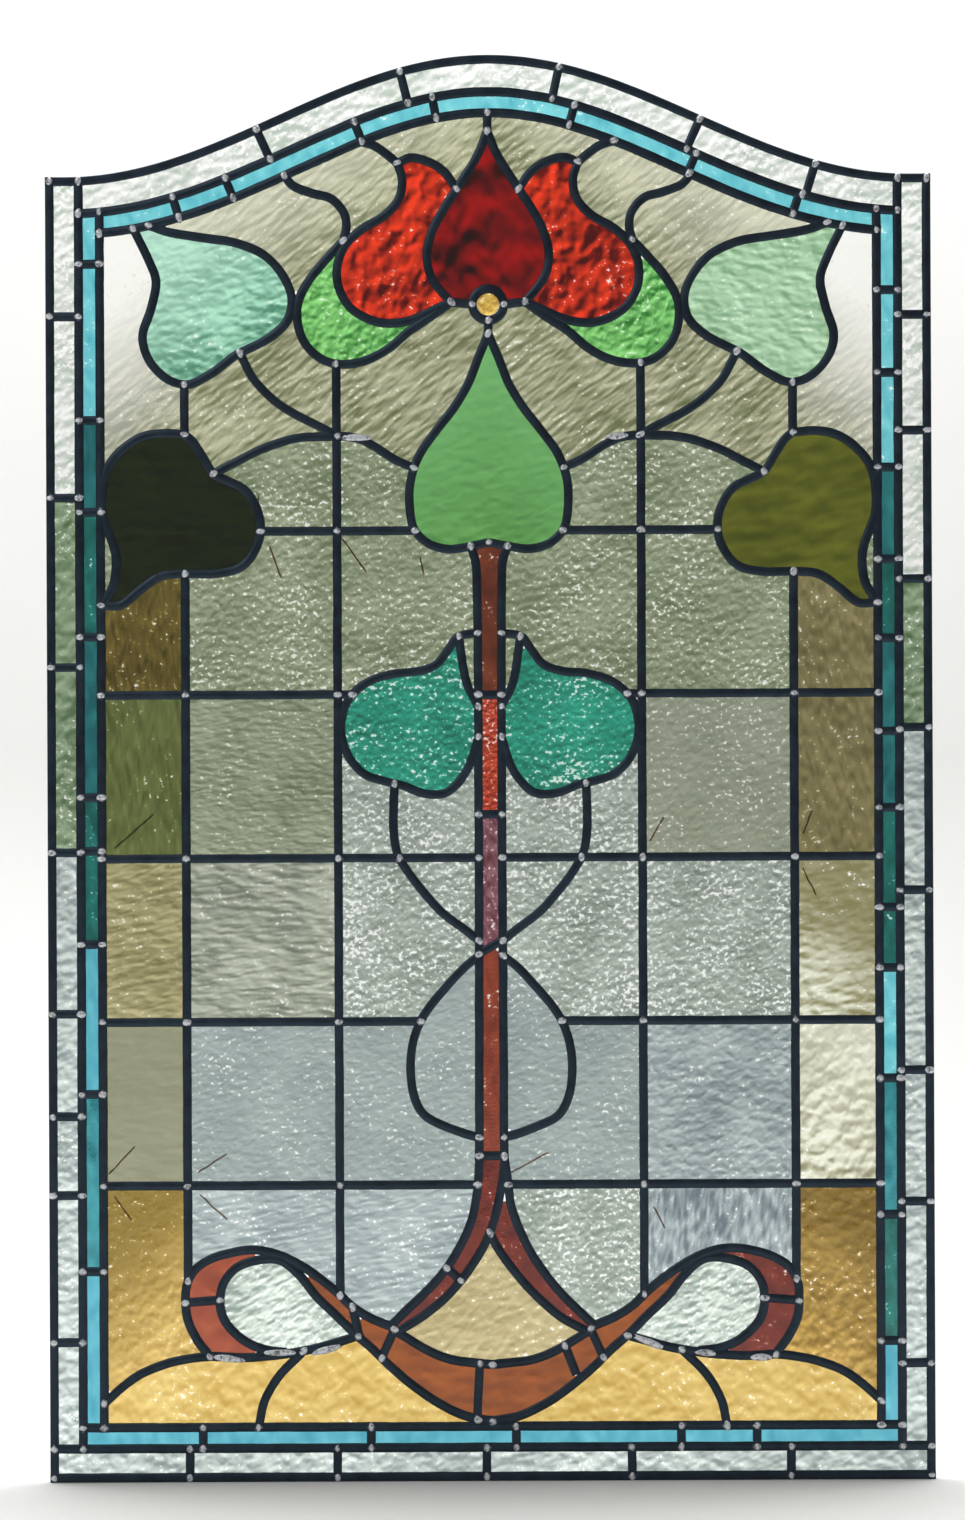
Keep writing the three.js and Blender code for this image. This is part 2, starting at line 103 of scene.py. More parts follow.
# Turns a drawing of the panel upright, and how the camera sees it: the height in view, the middle of the
# view across and up, the distance, and the camera's lean in degrees
STAND_UP = Matrix.Rotation(math.pi / 2, 3, "X")
VIEW_HEIGHT = 1.047
VIEW_CENTRE = (-0.0052, 0.4963)
CAMERA_DISTANCE = 2.6
CAMERA_ROLL = 0.25

# The curved leads of the left half, which the right half mirrors
HALF_CURVES = {
    "upper_leaf": [(-91.3, ARCH), (-87.5, 89), (-85.5, 87.3), (-86.8, 85.2), (-89, 83), (-87.2, 81.2),
        (-82.5, 79.8), (-77.5, 79.4), (-71.5, 80.2), (-65, 81.6), (-56, 83), (-51.6, 84.3),
        (-50.5, 85.8), (-52.2, 87.4), (-57, 89.1), (-64, 90.1), (-74, 90.6), (-82, 91), (-87.3, ARCH)],
    "outer_curl": [(-52.3, ARCH), (-50, 94.5), (-45, 93.9), (-40.3, 93.5), (-37, 92.4), (-36.4, 91.3),
        (-37.2, 90.3)],
    "inner_curl": [(-32.5, ARCH), (-29, 97.5), (-25.2, 96.7), (-23.2, 96.2)],
    "petal_top": [(-8, 94.2), (-11.1, 95.5), (-15.3, 96.3), (-19.8, 96.6), (-23.2, 96.2)],
    "petal_side": [(-23.2, 96.2), (-22, 95), (-22.8, 93.5), (-26.6, 92.2), (-32.3, 91.2), (-36.6, 90),
        (-38.7, 88.5), (-38.5, 86.8), (-35.8, 85.3), (-31.4, 84.4), (-26.4, 84), (-20.4, 84.2),
        (-14, 85), (-9.5, 85.6)],
    "centre_petal": [(0, 98.6), (-2.5, 96.8), (-8, 94.2), (-11.3, 92.7), (-14.3, 91), (-15.7, 89.3),
        (-14.9, 87.7), (-12, 86.4), (-9.5, 85.6)],
    "sepal": [(-37.2, 90.3), (-41.3, 89), (-45.8, 87.4), (-48.8, 85.7), (-49, 84), (-47.2, 82.5),
        (-43, 81.3), (-38.4, 80.9), (-32.3, 81.1), (-26, 82), (-20.4, 83.4), (-14.2, 84.6),
        (-9.5, 85.6)],
    "heart_leaf": [(0, 83.2), (-2.4, 81.5), (-5.2, 79.4), (-8.8, 77.6), (-13.8, 75.7), (-18, 73.9),
        (-20.2, 71.9), (-20.4, 70), (-19.2, 68.3), (-15.5, 67.2), (-10.4, 66.8), (-4.8, 67), (0, 67.3)],
    "side_leaf_back": [(-OUTER_COLUMN, 75.6), (-84, 75.7), (-89.5, 75.4), (-95, 74.3), (-98.4, 72.9),
        (-99.6, 71.2), (-99.4, 69.3), (-97.6, 67.9), (-96.2, 66.6), (-96.1, 65.3), (-97, 64),
        (-99.4, 62.8)],
    "side_leaf_front": [(-99.4, 62.6), (-95, 62.6), (-89.8, 63.8), (-84.6, 64.8), (-OUTER_COLUMN, 65),
        (-70, 65), (-63.8, 65.5), (-60.2, 66.8), (-58.8, 68.2), (-59.4, 69.7), (-62.6, 71.3),
        (-67.5, 72.1), (-70.8, 72.6), (-73.6, 73.9), (-76.3, 75.1), (-OUTER_COLUMN, 75.6)],
    "shoulder_arc": [(-70.8, 72.6), (-65, 73.5), (-58.9, 74.4), (-50.7, 75.2), (-43, 75.4),
        (-34.5, 75.3), (-29.8, 74.7), (-24.6, 73.7), (-19.4, 73)],
    "lower_curl": [(-64, 81.8), (-60.2, 79.7), (-55.3, 78.2), (-49.8, 77.1), (-43.1, 76.1),
        (-COLUMN, 75.5)],
    "lower_leaf": [(-STEM, 60.4), (-8.2, 60.1), (-10.5, 59.2), (-13.8, 58), (-18.5, 57.5), (-25, 57.3),
        (-30.6, 56.8), (-34.6, 56), (-37.4, 54.8), (-38.3, 52.8), (-36.3, 51), (-32.3, 49.7),
        (-26.7, 49.1), (-22.4, 48.8), (-17.3, 48.2), (-11.7, 48.2), (-8.2, 49), (-5.2, 50.4),
        (-STEM, 52.3)],
    "lower_leaf_tip": [(-7.9, 60.1), (-7.3, 58.8), (-6.7, 57.6), (-5.6, 56.3), (-STEM, 54.9)],
    "stem_curl": [(-24.6, 48.9), (-24.9, 47.2), (-24.9, 45.4), (-23.9, 43.6), (-21.6, 42.4),
        (-17.6, 40.8), (-12.4, 39.1), (-6.6, 37.8), (-STEM, 37)],
    "stem_loop": [(-STEM, 35.8), (-6.6, 35), (-11.1, 33.6), (-15.7, 32), (-18.6, 30.6), (-20.3, 29),
        (-20.8, 27), (-19.9, 25.1), (-17.3, 23.7), (-12.4, 22.9), (-6, 22.2), (-STEM, 22)],
    "ribbon_loop": [(-72.8, 5.4), (-76.1, 6.7), (-78.4, 8.1), (-79, 9.6), (-78.6, 10.9), (-76.6, 12),
        (-72.6, 12.8), (-67.2, 13.3), (-61.2, 13.5), (-54.7, 13.1), (-49.3, 12.3), (-43.9, 11.2),
        (-39.8, 10.2), (-36.3, 9.2), (-31.5, 8.3), (-25, 7.5)],
    "teardrop": [(-34.8, 6.9), (-40.6, 8.6), (-45.5, 10), (-49.8, 11.6), (-54.7, 12.7), (-60.6, 12.7),
        (-66.1, 12.1), (-69.3, 10.9), (-70.1, 9.5), (-69.4, 8.4), (-67.7, 7.6), (-63.4, 6.5),
        (-58.5, 5.9), (-53, 5.7)],
    "ground": [(-99.8, 1.9), (-95.3, 3.1), (-90.5, 4.1), (-84.5, 4.8), (-79, 5.2), (-72.8, 5.4),
        (-65, 5.3), (-58.5, 5.4), (-50.5, 5.7), (-44, 6.1), (-34.8, 6.9)],
    "ribbon_foot": [(-34.8, 6.9), (-30.5, 5.8), (-26, 4.5), (-20, 3), (-13.5, 1.7), (-7, 0.8),
        (0, 0.4)],
    "ribbon_top": [(-24.5, 7.2), (-17.3, 5.9), (-10.8, 5.1), (0, 4.7)],
}

# The stem, its foot that sweeps to the left and the branch that leaves it to the right
STEM_CURVES = {
    "left_lead": [(-STEM - 1.4, 66.9), (-STEM - 0.3, 65.8), (-STEM, 64), (-STEM, 22.5),
        (-STEM - 0.1, 19.8), (-4, 17.5), (-5.5, 15.5), (-8.8, 13.4), (-12.9, 11.6), (-17.6, 10.1),
        (-22, 8.9), (-26, 7.7)],
    "right_lead": [(STEM + 1.4, 66.9), (STEM + 0.3, 65.8), (STEM, 64), (STEM, 22.5), (STEM, 20),
        (2.3, 18), (0.9, 16.1), (-1, 14.4), (-3.8, 12.9), (-7.3, 11.4), (-11.4, 10), (-17, 8.6),
        (-24.5, 7.2)],
    "branch_outer": [(STEM, 20.6), (4.2, 18.4), (4.9, 16.8), (6.9, 15.1), (10, 13.2), (14.1, 11.4),
        (18.4, 9.9), (22.5, 8.7), (26, 7.7)],
    "branch_inner": [(-0.6, 14.8), (1.2, 13.7), (4.1, 12.4), (8.5, 10.8), (13.2, 9.4), (18.1, 8.2),
        (24.5, 7.2)],
}

# Straight leads of the left half, which the right half mirrors
HALF_BARS = [
    [(-OUTER_COLUMN, 79.4), (-OUTER_COLUMN, 75.6)],
    [(-OUTER_COLUMN, 65), (-OUTER_COLUMN, 11.2)],
    [(-COLUMN, 80.9), (-COLUMN, 10.1)],
    [(-9.5, 85.6), (-RING_ACROSS, JEWEL_SPOT[1])],
    [(-58.8, ROWS[0]), (-19.2, ROWS[0])],
    [(-100, ROWS[1]), (-34.5, ROWS[1])],
    [(-100, ROWS[2]), (-STEM, ROWS[2])],
    [(-100, ROWS[3]), (-18.4, ROWS[3])],
    [(-100, ROWS[4]), (-STEM - 0.6, ROWS[4])],
    [(-79, 9.5), (-70.1, 9.7)],
    [(-25.4, 7.3), (-28.6, 5.2)],
    [(-49, 5.7), (-55, 3.9), (-58.8, 2), (-60.3, 0)],
]
SINGLE_BARS = [
    [(0, 98.4), (0, ARCH)],
    [(0, JEWEL_SPOT[1] - RING_UP), (0, 83)],
    [(-STEM, 55.7), (STEM, 55.7)],
    [(-STEM, 46.6), (STEM, 46.6)],
    [(-STEM, 36), (STEM, 37)],
    [(-STEM, 20.6), (STEM, 20.6)],
    [(-11.4, 12), (-8, 11.1)],
    [(-3.3, 4.7), (-4, 0.8)],
    [(18.5, 6.2), (21.5, 3.9)],
    [(-36, 9.1), (-34.2, 6.8)],
]

# Where short leads part the pieces of the two borders: up the sides, and across the foot and the arch
BLUE_JOINTS = {
    "left": [88.6, 76.7, 69.7, 60.2, 48, 43.9, 36.8, 25.4, 11.9],
    "right": [86.4, 80.1, 72.9, 65.9, 59.9, 52.8, 47, 39.4, 34.8, 26.4, 16, 6.4],
    "arch": [-79.5, -65.5, -32.3, -13.2, 21, 51.5, 78.5],
    "foot": [-74.6, -31.3, 6, 48.5, 68],
}
CLEAR_JOINTS = {
    "left": [84.6, 70.8, 57.9, 43.8, 31.5, 23.7, 17.7, 6.5],
    "right": [84.5, 75.7, 64.4, 53.1, 40.7, 27, 17, 4.7],
    "arch": [-56, -20.4, 16.7, 51.2, 81.8],
    "foot": [-78, -40, -1.6, 35.8, 76.8],
}

# Copper tie wires, soldered on behind at the crossings of the grid, bent away over the glass
TIE_WIRES = [
    [(-59.5, 68.1), (-59.3, 71.0)],
    [(-56.6, 67.1), (-53.5, 64.6)],
    [(-38.8, 68.1), (-35.4, 66.6), (-31.8, 65.1)],
    [(-17.8, 66.2), (-17.0, 64.9)],
    [(-96.8, 44.1), (-86.8, 46.7)],
    [(41.1, 44.5), (44.6, 46.3)],
    [(80.5, 45.0), (83.0, 46.8)],
    [(80.5, 42.4), (83.9, 40.3)],
    [(-98.5, 19.3), (-92.0, 21.4)],
    [(-97.2, 17.6), (-92.9, 15.8)],
    [(-75.7, 19.4), (-68.2, 20.8)],
    [(-75.2, 17.7), (-68.3, 15.8)],
    [(4.3, 19.2), (14.5, 20.8)],
    [(41.7, 16.6), (44.6, 15.0)],
]
WIRE_HALF = 0.6

# Long flat patches of solder along a lead, from one place to another
SOLDER_PATCHES = [
    ((-38, 75.3), (-30, 75.3)),
    ((30, 75.3), (36, 75.4)),
    ((-72.3, 5.4), (-63.4, 5.1)),
    ((-59.0, 5.7), (-50.6, 5.7)),
    ((-46.7, 5.6), (-38.8, 6.2)),
    ((36.1, 6.9), (44.2, 5.9)),
    ((52.2, 5.6), (57.5, 5.5)),
    ((66.5, 5.2), (71.9, 5.2)),
    ((-5, 0.5), (-2.6, 0.5)),
]

# How finely curves are drawn, and how closely points fill the glass, in steps or in millimetres
CURVE_STEPS = 10
ARCH_STEPS = 60
RING_STEPS = 28
CURVE_CHORD = 0.04
SAME_PLACE = 1e-6
LONGEST_STEP = 9
FILL_STEP = 2.4
FILL_ROW = FILL_STEP * 0.866
FILL_SHAKE = 0.3
FILL_CLEAR = 1.6

# How far each lead runs on past its ends, how far from a lead's middle glass shows, the least half
# opening that is glazed, and how close together the ends of leads share one joint
OVERSHOOT = 2.5
RAIL_OVERSHOOT = 0.5
OPEN_GLASS = 2.6
SMALLEST_OPENING = 3.3
JOINT_REACH = 5.0

# How far from a joint the came has short steps, their length, how unevenly the came lies, and the seed of
# that unevenness, without which it would differ from run to run
FINE_REACH = 5
FINE_STEP = 1.5
CAME_WANDER = 0.22
CAME_SEED = 5

# How far the glass stays clear of a came's heart, and from where the relief of its face begins and is full
HEART_GAP = 0.15
RELIEF_FROM = 1.0
RELIEF_FULL = 3.0

# How high the lumps of solder rise in front and behind, how far a tie wire bends out of line, and its steps
FRONT_SOLDER = 0.95
BACK_SOLDER = 0.3
WIRE_BEND = 0.9
WIRE_STEP = 2.5


def linear(code):
    """An sRGB hex colour as linear red, green and blue."""
    parts = [int(code[i:i + 2], 16) / 255 for i in (0, 2, 4)]
    return tuple(c / 12.92 if c <= 0.04045 else ((c + 0.055) / 1.055) ** 2.4 for c in parts)


# Each kind of glass: darker and lighter tint, between which its tone and the painted shade of its slopes run,
# grain across and up in millimetres, turn of the grain in degrees, how much the grain and its painted shade
# show, share of painted glints on seeds, relief of its face in millimetres, roughness
GLASS = {
    "ruby_deep": ("200203", "980A08", 16, 18, 20, 1.2, 0.0, 0.1, 0.1),
    "ruby_streaky": ("480301", "F03C1A", 12, 9, 60, 1.4, 0.02, 0.16, 0.12),
    "green_streaky": ("2C7A2E", "93E082", 7, 5.5, 40, 1.3, 0.12, 0.16, 0.12),
    "mint_rolled": ("4E8E72", "B0E8CE", 10, 5.4, 8, 1.4, 0.05, 0.2, 0.14),
    "pale_green_rolled": ("7AA67E", "C8ECC8", 10, 5.4, -8, 1.1, 0.05, 0.2, 0.14),
    "leaf_green": ("3E7C38", "76B664", 12, 6, 10, 0.6, 0.0, 0.1, 0.12),
    "bottle_green": ("0A1203", "1C2A0A", 16, 8, 0, 0.8, 0.0, 0.08, 0.12),
    "olive_green": ("474D0E", "6C7020", 20, 10, 10, 0.9, 0.0, 0.08, 0.12),
    "teal_seedy": ("1A6E5A", "36B094", 5.5, 4.6, 15, 0.9, 0.24, 0.22, 0.16),
    "brown": ("4E2012", "7E3E26", 12, 20, 0, 0.9, 0.02, 0.10, 0.14),
    "flame_mottled": ("7A1E10", "E0583A", 3.4, 3, 20, 1.0, 0.22, 0.20, 0.16),
    "mauve_brown": ("5A2A30", "9A6A78", 4, 9, 10, 1.0, 0.16, 0.18, 0.16),
    "russet": ("6A2A1C", "96452E", 10, 24, 0, 0.9, 0.02, 0.10, 0.14),
    "dark_russet": ("521A12", "7C2E20", 10, 18, 0, 0.9, 0.02, 0.10, 0.14),
    "ribbon_brown": ("803622", "A85236", 14, 14, 20, 0.9, 0.0, 0.10, 0.14),
    "bow_brown": ("6E340C", "9A5018", 18, 10, 0, 0.9, 0.0, 0.10, 0.14),
    "amber_hammered": ("B8943C", "E6CB80", 9, 8, 10, 0.8, 0.03, 0.26, 0.14),
    "amber_dark": ("86661A", "DCB662", 8, 7, 20, 1.2, 0.02, 0.26, 0.14),
    "amber_olive": ("A08030", "DEBE72", 8, 7, 30, 0.9, 0.02, 0.26, 0.14),
    "amber_pale": ("9C8E62", "CCBE92", 9, 6, 20, 1.0, 0.03, 0.20, 0.14),
    "straw_rolled": ("6E7450", "C6C6A8", 15, 4.4, 38, 1.3, 0.07, 0.2, 0.16),
    "straw_pale": ("666C46", "C0C0A0", 13, 4.4, 38, 1.5, 0.1, 0.2, 0.16),
    "sage_seedy": ("6C785A", "AAB498", 6, 4.6, 15, 1.1, 0.22, 0.22, 0.18),
    "silver_seedy": ("768278", "C2CCC4", 6, 4.6, 15, 0.9, 0.34, 0.24, 0.18),
    "sage_rippled": ("68745A", "AEB69E", 9, 3.6, 0, 1.0, 0.06, 0.26, 0.16),
    "stone_rippled": ("727A6A", "BEC4B4", 14, 4.6, 0, 1.3, 0.05, 0.28, 0.16),
    "grey_seedy": ("808E8E", "ACB8B6", 7, 4.4, 10, 0.9, 0.09, 0.16, 0.16),
    "grey_dashed": ("808E92", "BAC6C6", 13, 4.4, 8, 1.2, 0.13, 0.22, 0.16),
    "grey_reeded": ("66747C", "BCC8CA", 4, 15, -12, 1.1, 0.12, 0.28, 0.16),
    "grey_hammered": ("86968E", "E2ECE4", 8, 4.4, 25, 1.4, 0.22, 0.26, 0.18),
    "olive_brown": ("443C12", "7A6A30", 4, 16, 0, 0.9, 0.02, 0.14, 0.16),
    "moss": ("4E5A2A", "727C48", 4, 18, 0, 0.9, 0.01, 0.14, 0.16),
    "tan_rippled": ("7A744A", "BCB488", 12, 4.6, 8, 1.1, 0.02, 0.26, 0.16),
    "stone": ("82846A", "9C9E84", 20, 9, 0, 0.5, 0.0, 0.1, 0.16),
    "drab": ("66603A", "968C62", 6, 12, 5, 1.0, 0.02, 0.14, 0.16),
    "pale_straw": ("7C7A50", "F0F0DC", 9, 7, 25, 1.5, 0.1, 0.22, 0.16),
    "turquoise_bright": ("52B4C6", "86DCE4", 10, 16, 0, 0.8, 0.02, 0.14, 0.12),
    "turquoise": ("3C96AC", "66BACC", 10, 22, 0, 0.8, 0.0, 0.12, 0.12),
    "teal_blue": ("14565C", "2E8284", 10, 22, 0, 0.9, 0.0, 0.12, 0.12),
    "teal_deep": ("0C504A", "237A74", 8, 20, 0, 0.9, 0.01, 0.12, 0.12),
    "clear_bright": ("BCC8BE", "FFFFFF", 10, 6, 30, 1.3, 0.34, 0.26, 0.14),
    "clear_green": ("56704C", "A2B698", 10, 8, 20, 1.2, 0.14, 0.26, 0.14),
    "clear_grey": ("8A9696", "DCE6E4", 9, 6, 10, 1.3, 0.14, 0.24, 0.14),
    "drab_crumpled": ("8A865A", "EEF0DC", 12, 6, 10, 1.5, 0.06, 0.22, 0.16),
    "stone_seedy": ("828A76", "AAB09E", 7, 5, 15, 0.8, 0.15, 0.22, 0.16),
    "teal_mid": ("1E707A", "46A0AA", 10, 22, 0, 0.9, 0.0, 0.12, 0.12),
    "grey_crinkled": ("6E7C80", "BCC8C8", 8, 5, 15, 1.0, 0.08, 0.24, 0.16),
    "gold_jewel": ("A07820", "F0CC68", 4, 4, 0, 1.2, 0.06, 0.0, 0.08),
}

# How far apart the grain is read to find its slopes, and what distance outwards counts for in a fade of
# painted light and shade
GRAIN_SHIFT = 0.42
BACKLIGHT_OUTWARDS = 0.8

# Painted light upwards and outwards, and painted shade there for the amber corners and the crumpled drab:
# from which height plus most of the distance from the middle, to which, the tint there and how much of it
# shows
PAINTED_BACKLIGHT_FADES = {
    "straw_rolled": (930, 1050, "EEEEDC", 0.7),
    "straw_pale": (890, 1020, "FFFFFC", 0.95),
    "mint_rolled": (930, 1040, "C4EEDC", 0.7),
    "amber_olive": (280, 370, "78641F", 0.8),
    "amber_dark": (260, 370, "5E4A0E", 0.7),
    "leaf_green": (650, 800, "7CBE7A", 0.8),
    "pale_straw": (390, 530, "F4F4E4", 0.7),
    "drab_crumpled": (520, 580, "8A8456", 0.8),
}

# The glass behind each CAD node, or from the top down: the least height of each pane's middle, and its
# glass. A name without its side stands for both sides.
NODE_GLASS = {
    "petal_centre": "ruby_deep",
    "petal": "ruby_streaky",
    "sepal": "green_streaky",
    "upper_leaf_left": "mint_rolled",
    "upper_leaf_right": "pale_green_rolled",
    "heart_leaf": "leaf_green",
    "side_leaf_left": "bottle_green",
    "side_leaf_right": "olive_green",
    "lower_leaf": "teal_seedy",
    "stem": [(55.7, "brown"), (46.6, "flame_mottled"), (36.5, "mauve_brown"), (20, "russet"),
             (0, "dark_russet")],
    "stem_branch": "dark_russet",
    "ribbon_loop_left": "ribbon_brown",
    "ribbon_loop_right": "dark_russet",
    "ribbon_bow": "bow_brown",
    "amber_centre": "amber_pale",
    "amber_corner_left": "amber_olive",
    "amber_corner_right": "amber_dark",
    "amber_ground": "amber_hammered",
    "teardrop": "grey_hammered",
    "side_top_pane": "straw_pale",
    "top_outer_pane": "straw_rolled",
    "top_middle_pane": "straw_rolled",
    "top_inner_pane": "straw_rolled",
    "pane_over_curl": "straw_rolled",
    "pane_under_curl": "straw_rolled",
    "pane_beside_heart": "straw_rolled",
    "outer_column_left": [(55, "sage_seedy"), (43, "sage_rippled"), (31, "stone_rippled"),
                          (18.4, "grey_seedy"), (0, "grey_dashed")],
    "outer_column_right": [(55, "sage_seedy"), (43, "stone_seedy"), (31, "silver_seedy"),
                           (18.4, "grey_crinkled"), (0, "grey_reeded")],
    "inner_upper_pane": "sage_seedy",
    "inner_column_left": [(31, "silver_seedy"), (18.4, "grey_seedy"), (0, "grey_dashed")],
    "inner_column_right": [(31, "silver_seedy"), (18.4, "grey_seedy"), (0, "silver_seedy")],
    "inner_wedge": "silver_seedy",
    "stem_loop_pane": "grey_seedy",
    "side_column_left": [(55, "olive_brown"), (43, "moss"), (31, "tan_rippled"), (0, "stone")],
    "side_column_right": [(43, "drab"), (31, "drab_crumpled"), (0, "pale_straw")],
    "clear_border_left": [(70, "clear_bright"), (43, "clear_green"), (0, "clear_grey")],
    "clear_border_right": [(64, "clear_bright"), (53, "clear_green"), (0, "clear_grey")],
    "clear_border_arch": "clear_bright",
    "clear_border_foot": "clear_grey",
    "blue_border_left": [(76.7, "turquoise_bright"), (69.7, "teal_blue"), (60.2, "teal_deep"),
                         (48, "teal_blue"), (36.8, "teal_deep"), (25.4, "turquoise"), (11.9, "teal_mid"),
                         (0, "turquoise")],
    "blue_border_right": [(72.9, "turquoise_bright"), (65.9, "teal_blue"), (59.9, "teal_deep"),
                          (47, "teal_blue"), (34.8, "teal_deep"), (26.4, "turquoise_bright"),
                          (16, "teal_mid"), (6.4, "teal_deep"), (0, "turquoise")],
    "blue_border_arch": "turquoise_bright",
    "blue_border_foot": "turquoise",
}
SLIP_GLASS = "sage_seedy"

# The record's material slot of each node
NODE_SLOT = {part["node"]: part["material_slot"] for part in frame["record"]["subparts"]}
OTHER_SLOT = "clear_glass"


def arch_height(x, depth):
    """Height of the line that lies a depth below the arched top edge."""
    turn = math.pi * min(abs(x), ARCH_HALF_SPAN) / ARCH_HALF_SPAN
    slope = ARCH_RISE / 2 * math.pi * math.sin(turn) / ARCH_HALF_SPAN
    return PANEL_HEIGHT - ARCH_RISE * (1 - math.cos(turn)) / 2 - depth * math.hypot(1, slope)


def place(spot):
    """A drawn place as millimetres across and up."""
    across, up = spot
    x = across * INNER_RAIL["side"] / 100
    if up == ARCH:
        return Vector((x, arch_height(x, INNER_RAIL["depth"])))
    return Vector((x, INNER_RAIL["foot"] + up * FIELD_HEIGHT / 100))


def mirrored(path):
    return [(-across, up) for across, up in path]


def thinned(points, chord=CURVE_CHORD):
    """The points that a curve needs so that no chord strays from it."""
    if len(points) < 3:
        return points
    first, last = points[0], points[-1]
    along = (last - first).normalized()
    closed = (last - first).length < SAME_PLACE
    strays = [(p - first).length if closed else abs(along.cross(p - first)) for p in points]
    worst = max(strays)
    if worst <= chord:
        return [first, last]
    turn = strays.index(worst)
    return thinned(points[:turn + 1], chord) + thinned(points[turn:], chord)[1:]


def stepped(points, longest=LONGEST_STEP):
    """The same line, with no step longer than a few millimetres."""
    line = [points[0]]
    for a, b in zip(points, points[1:]):
        count = max(1, math.ceil((b - a).length / longest))
        line += [a.lerp(b, k / count) for k in range(1, count + 1)]
    return line


def smooth(path):
    """A centripetal Catmull-Rom curve through drawn places."""
    spots = [place(spot) for spot in path]
    spots = [2 * spots[0] - spots[1], *spots, 2 * spots[-1] - spots[-2]]
    line = [spots[1]]
    for a, b, c, d in zip(spots, spots[1:], spots[2:], spots[3:]):
        before, here, after = (math.sqrt((q - p).length) for p, q in ((a, b), (b, c), (c, d)))
        leave = ((b - a) / before - (c - a) / (before + here) + (c - b) / here) * here
        arrive = ((c - b) / here - (d - b) / (here + after) + (d - c) / after) * here
        for step in range(1, CURVE_STEPS + 1):
            t = step / CURVE_STEPS
            line.append(b + leave * t + (3 * (c - b) - 2 * leave - arrive) * t ** 2
                        + (2 * (b - c) + leave + arrive) * t ** 3)
    return stepped(thinned(line))


def joined(lines, distance=OVERSHOOT):
    """Lines that run on a little at both ends, so that they meet the leads that they end on."""
    made = []
    for line in lines:
        start = line[0] + (line[0] - line[1]).normalized() * distance
        end = line[-1] + (line[-1] - line[-2]).normalized() * distance
        made.append([start, *line, end])
    return made


def rail_sides(rail):
    """A rail's left side, foot, right side and arch."""
    side, foot, depth = rail["side"], rail["foot"], rail["depth"]
    top = arch_height(side, depth)
    across = [side * step / ARCH_STEPS for step in range(-ARCH_STEPS, ARCH_STEPS + 1)]
    arch = [Vector((x, arch_height(x, depth))) for x in across]
    return [
        stepped([Vector((-side, foot)), Vector((-side, top))]),
        stepped([Vector((-side, foot)), Vector((side, foot))]),
        stepped([Vector((side, foot)), Vector((side, top))]),
        stepped(thinned(arch)),
    ]


def border_lines(joints, inside, outside):
    """Short leads across a border, from the rail inside it to the rail outside it."""
    lines = []
    for name, sign in (("left", -1), ("right", 1)):
        for up in joints[name]:
            z = place((0, up)).y
            lines.append([Vector((sign * inside["side"], z)), Vector((sign * outside["side"], z))])
    for across in joints["foot"]:
        x = place((across, 0)).x
        lines.append([Vector((x, inside["foot"])), Vector((x, outside["foot"]))])
    for across in joints["arch"]:
        x = place((across, 0)).x
        lean = (arch_height(x + 1, outside["depth"]) - arch_height(x - 1, outside["depth"])) / 2
        lower = Vector((x, arch_height(x, inside["depth"])))
        lines.append([lower, lower + Vector((-lean, 1)).normalized() * (inside["depth"] - outside["depth"])])
    return lines


def corner_lines(rail, beyond):
    """Where two borders meet at a corner, a rail runs on to the next one."""
    lines = []
    for sign in (-1, 1):
        x = sign * rail["side"]
        lines.append([Vector((x, arch_height(x, depth))) for depth in (rail["depth"], beyond["depth"])])
        lines.append([Vector((x, rail["foot"])), Vector((sign * beyond["side"], rail["foot"]))])
    return lines


def ring_line():
    centre = place(JEWEL_SPOT)
    turns = [2 * math.pi * step / RING_STEPS for step in range(RING_STEPS + 1)]
    return [centre + RING_RADIUS * Vector((math.cos(turn), math.sin(turn))) for turn in turns]


curves = [*HALF_CURVES.values(), *HALF_BARS]
drawn_paths = [*curves, *map(mirrored, curves), *STEM_CURVES.values(), *SINGLE_BARS]
curve_lines = [smooth(path) for path in drawn_paths]
border_leads = [
    *border_lines(BLUE_JOINTS, INNER_RAIL, MIDDLE_RAIL),
    *border_lines(CLEAR_JOINTS, MIDDLE_RAIL, OUTER_RAIL),
    *corner_lines(INNER_RAIL, MIDDLE_RAIL),
    *corner_lines(MIDDLE_RAIL, OUTER_RAIL),
]
rails = [rail_sides(rail) for rail in (OUTER_RAIL, MIDDLE_RAIL, INNER_RAIL)]
rail_lines = [line for sides in rails for line in sides]
ring = ring_line()


def tree_of(points):
    tree = kdtree.KDTree(len(points))
    for index, point in enumerate(points):
        tree.insert((point[0], point[1], 0), index)
    tree.balance()
    return tree


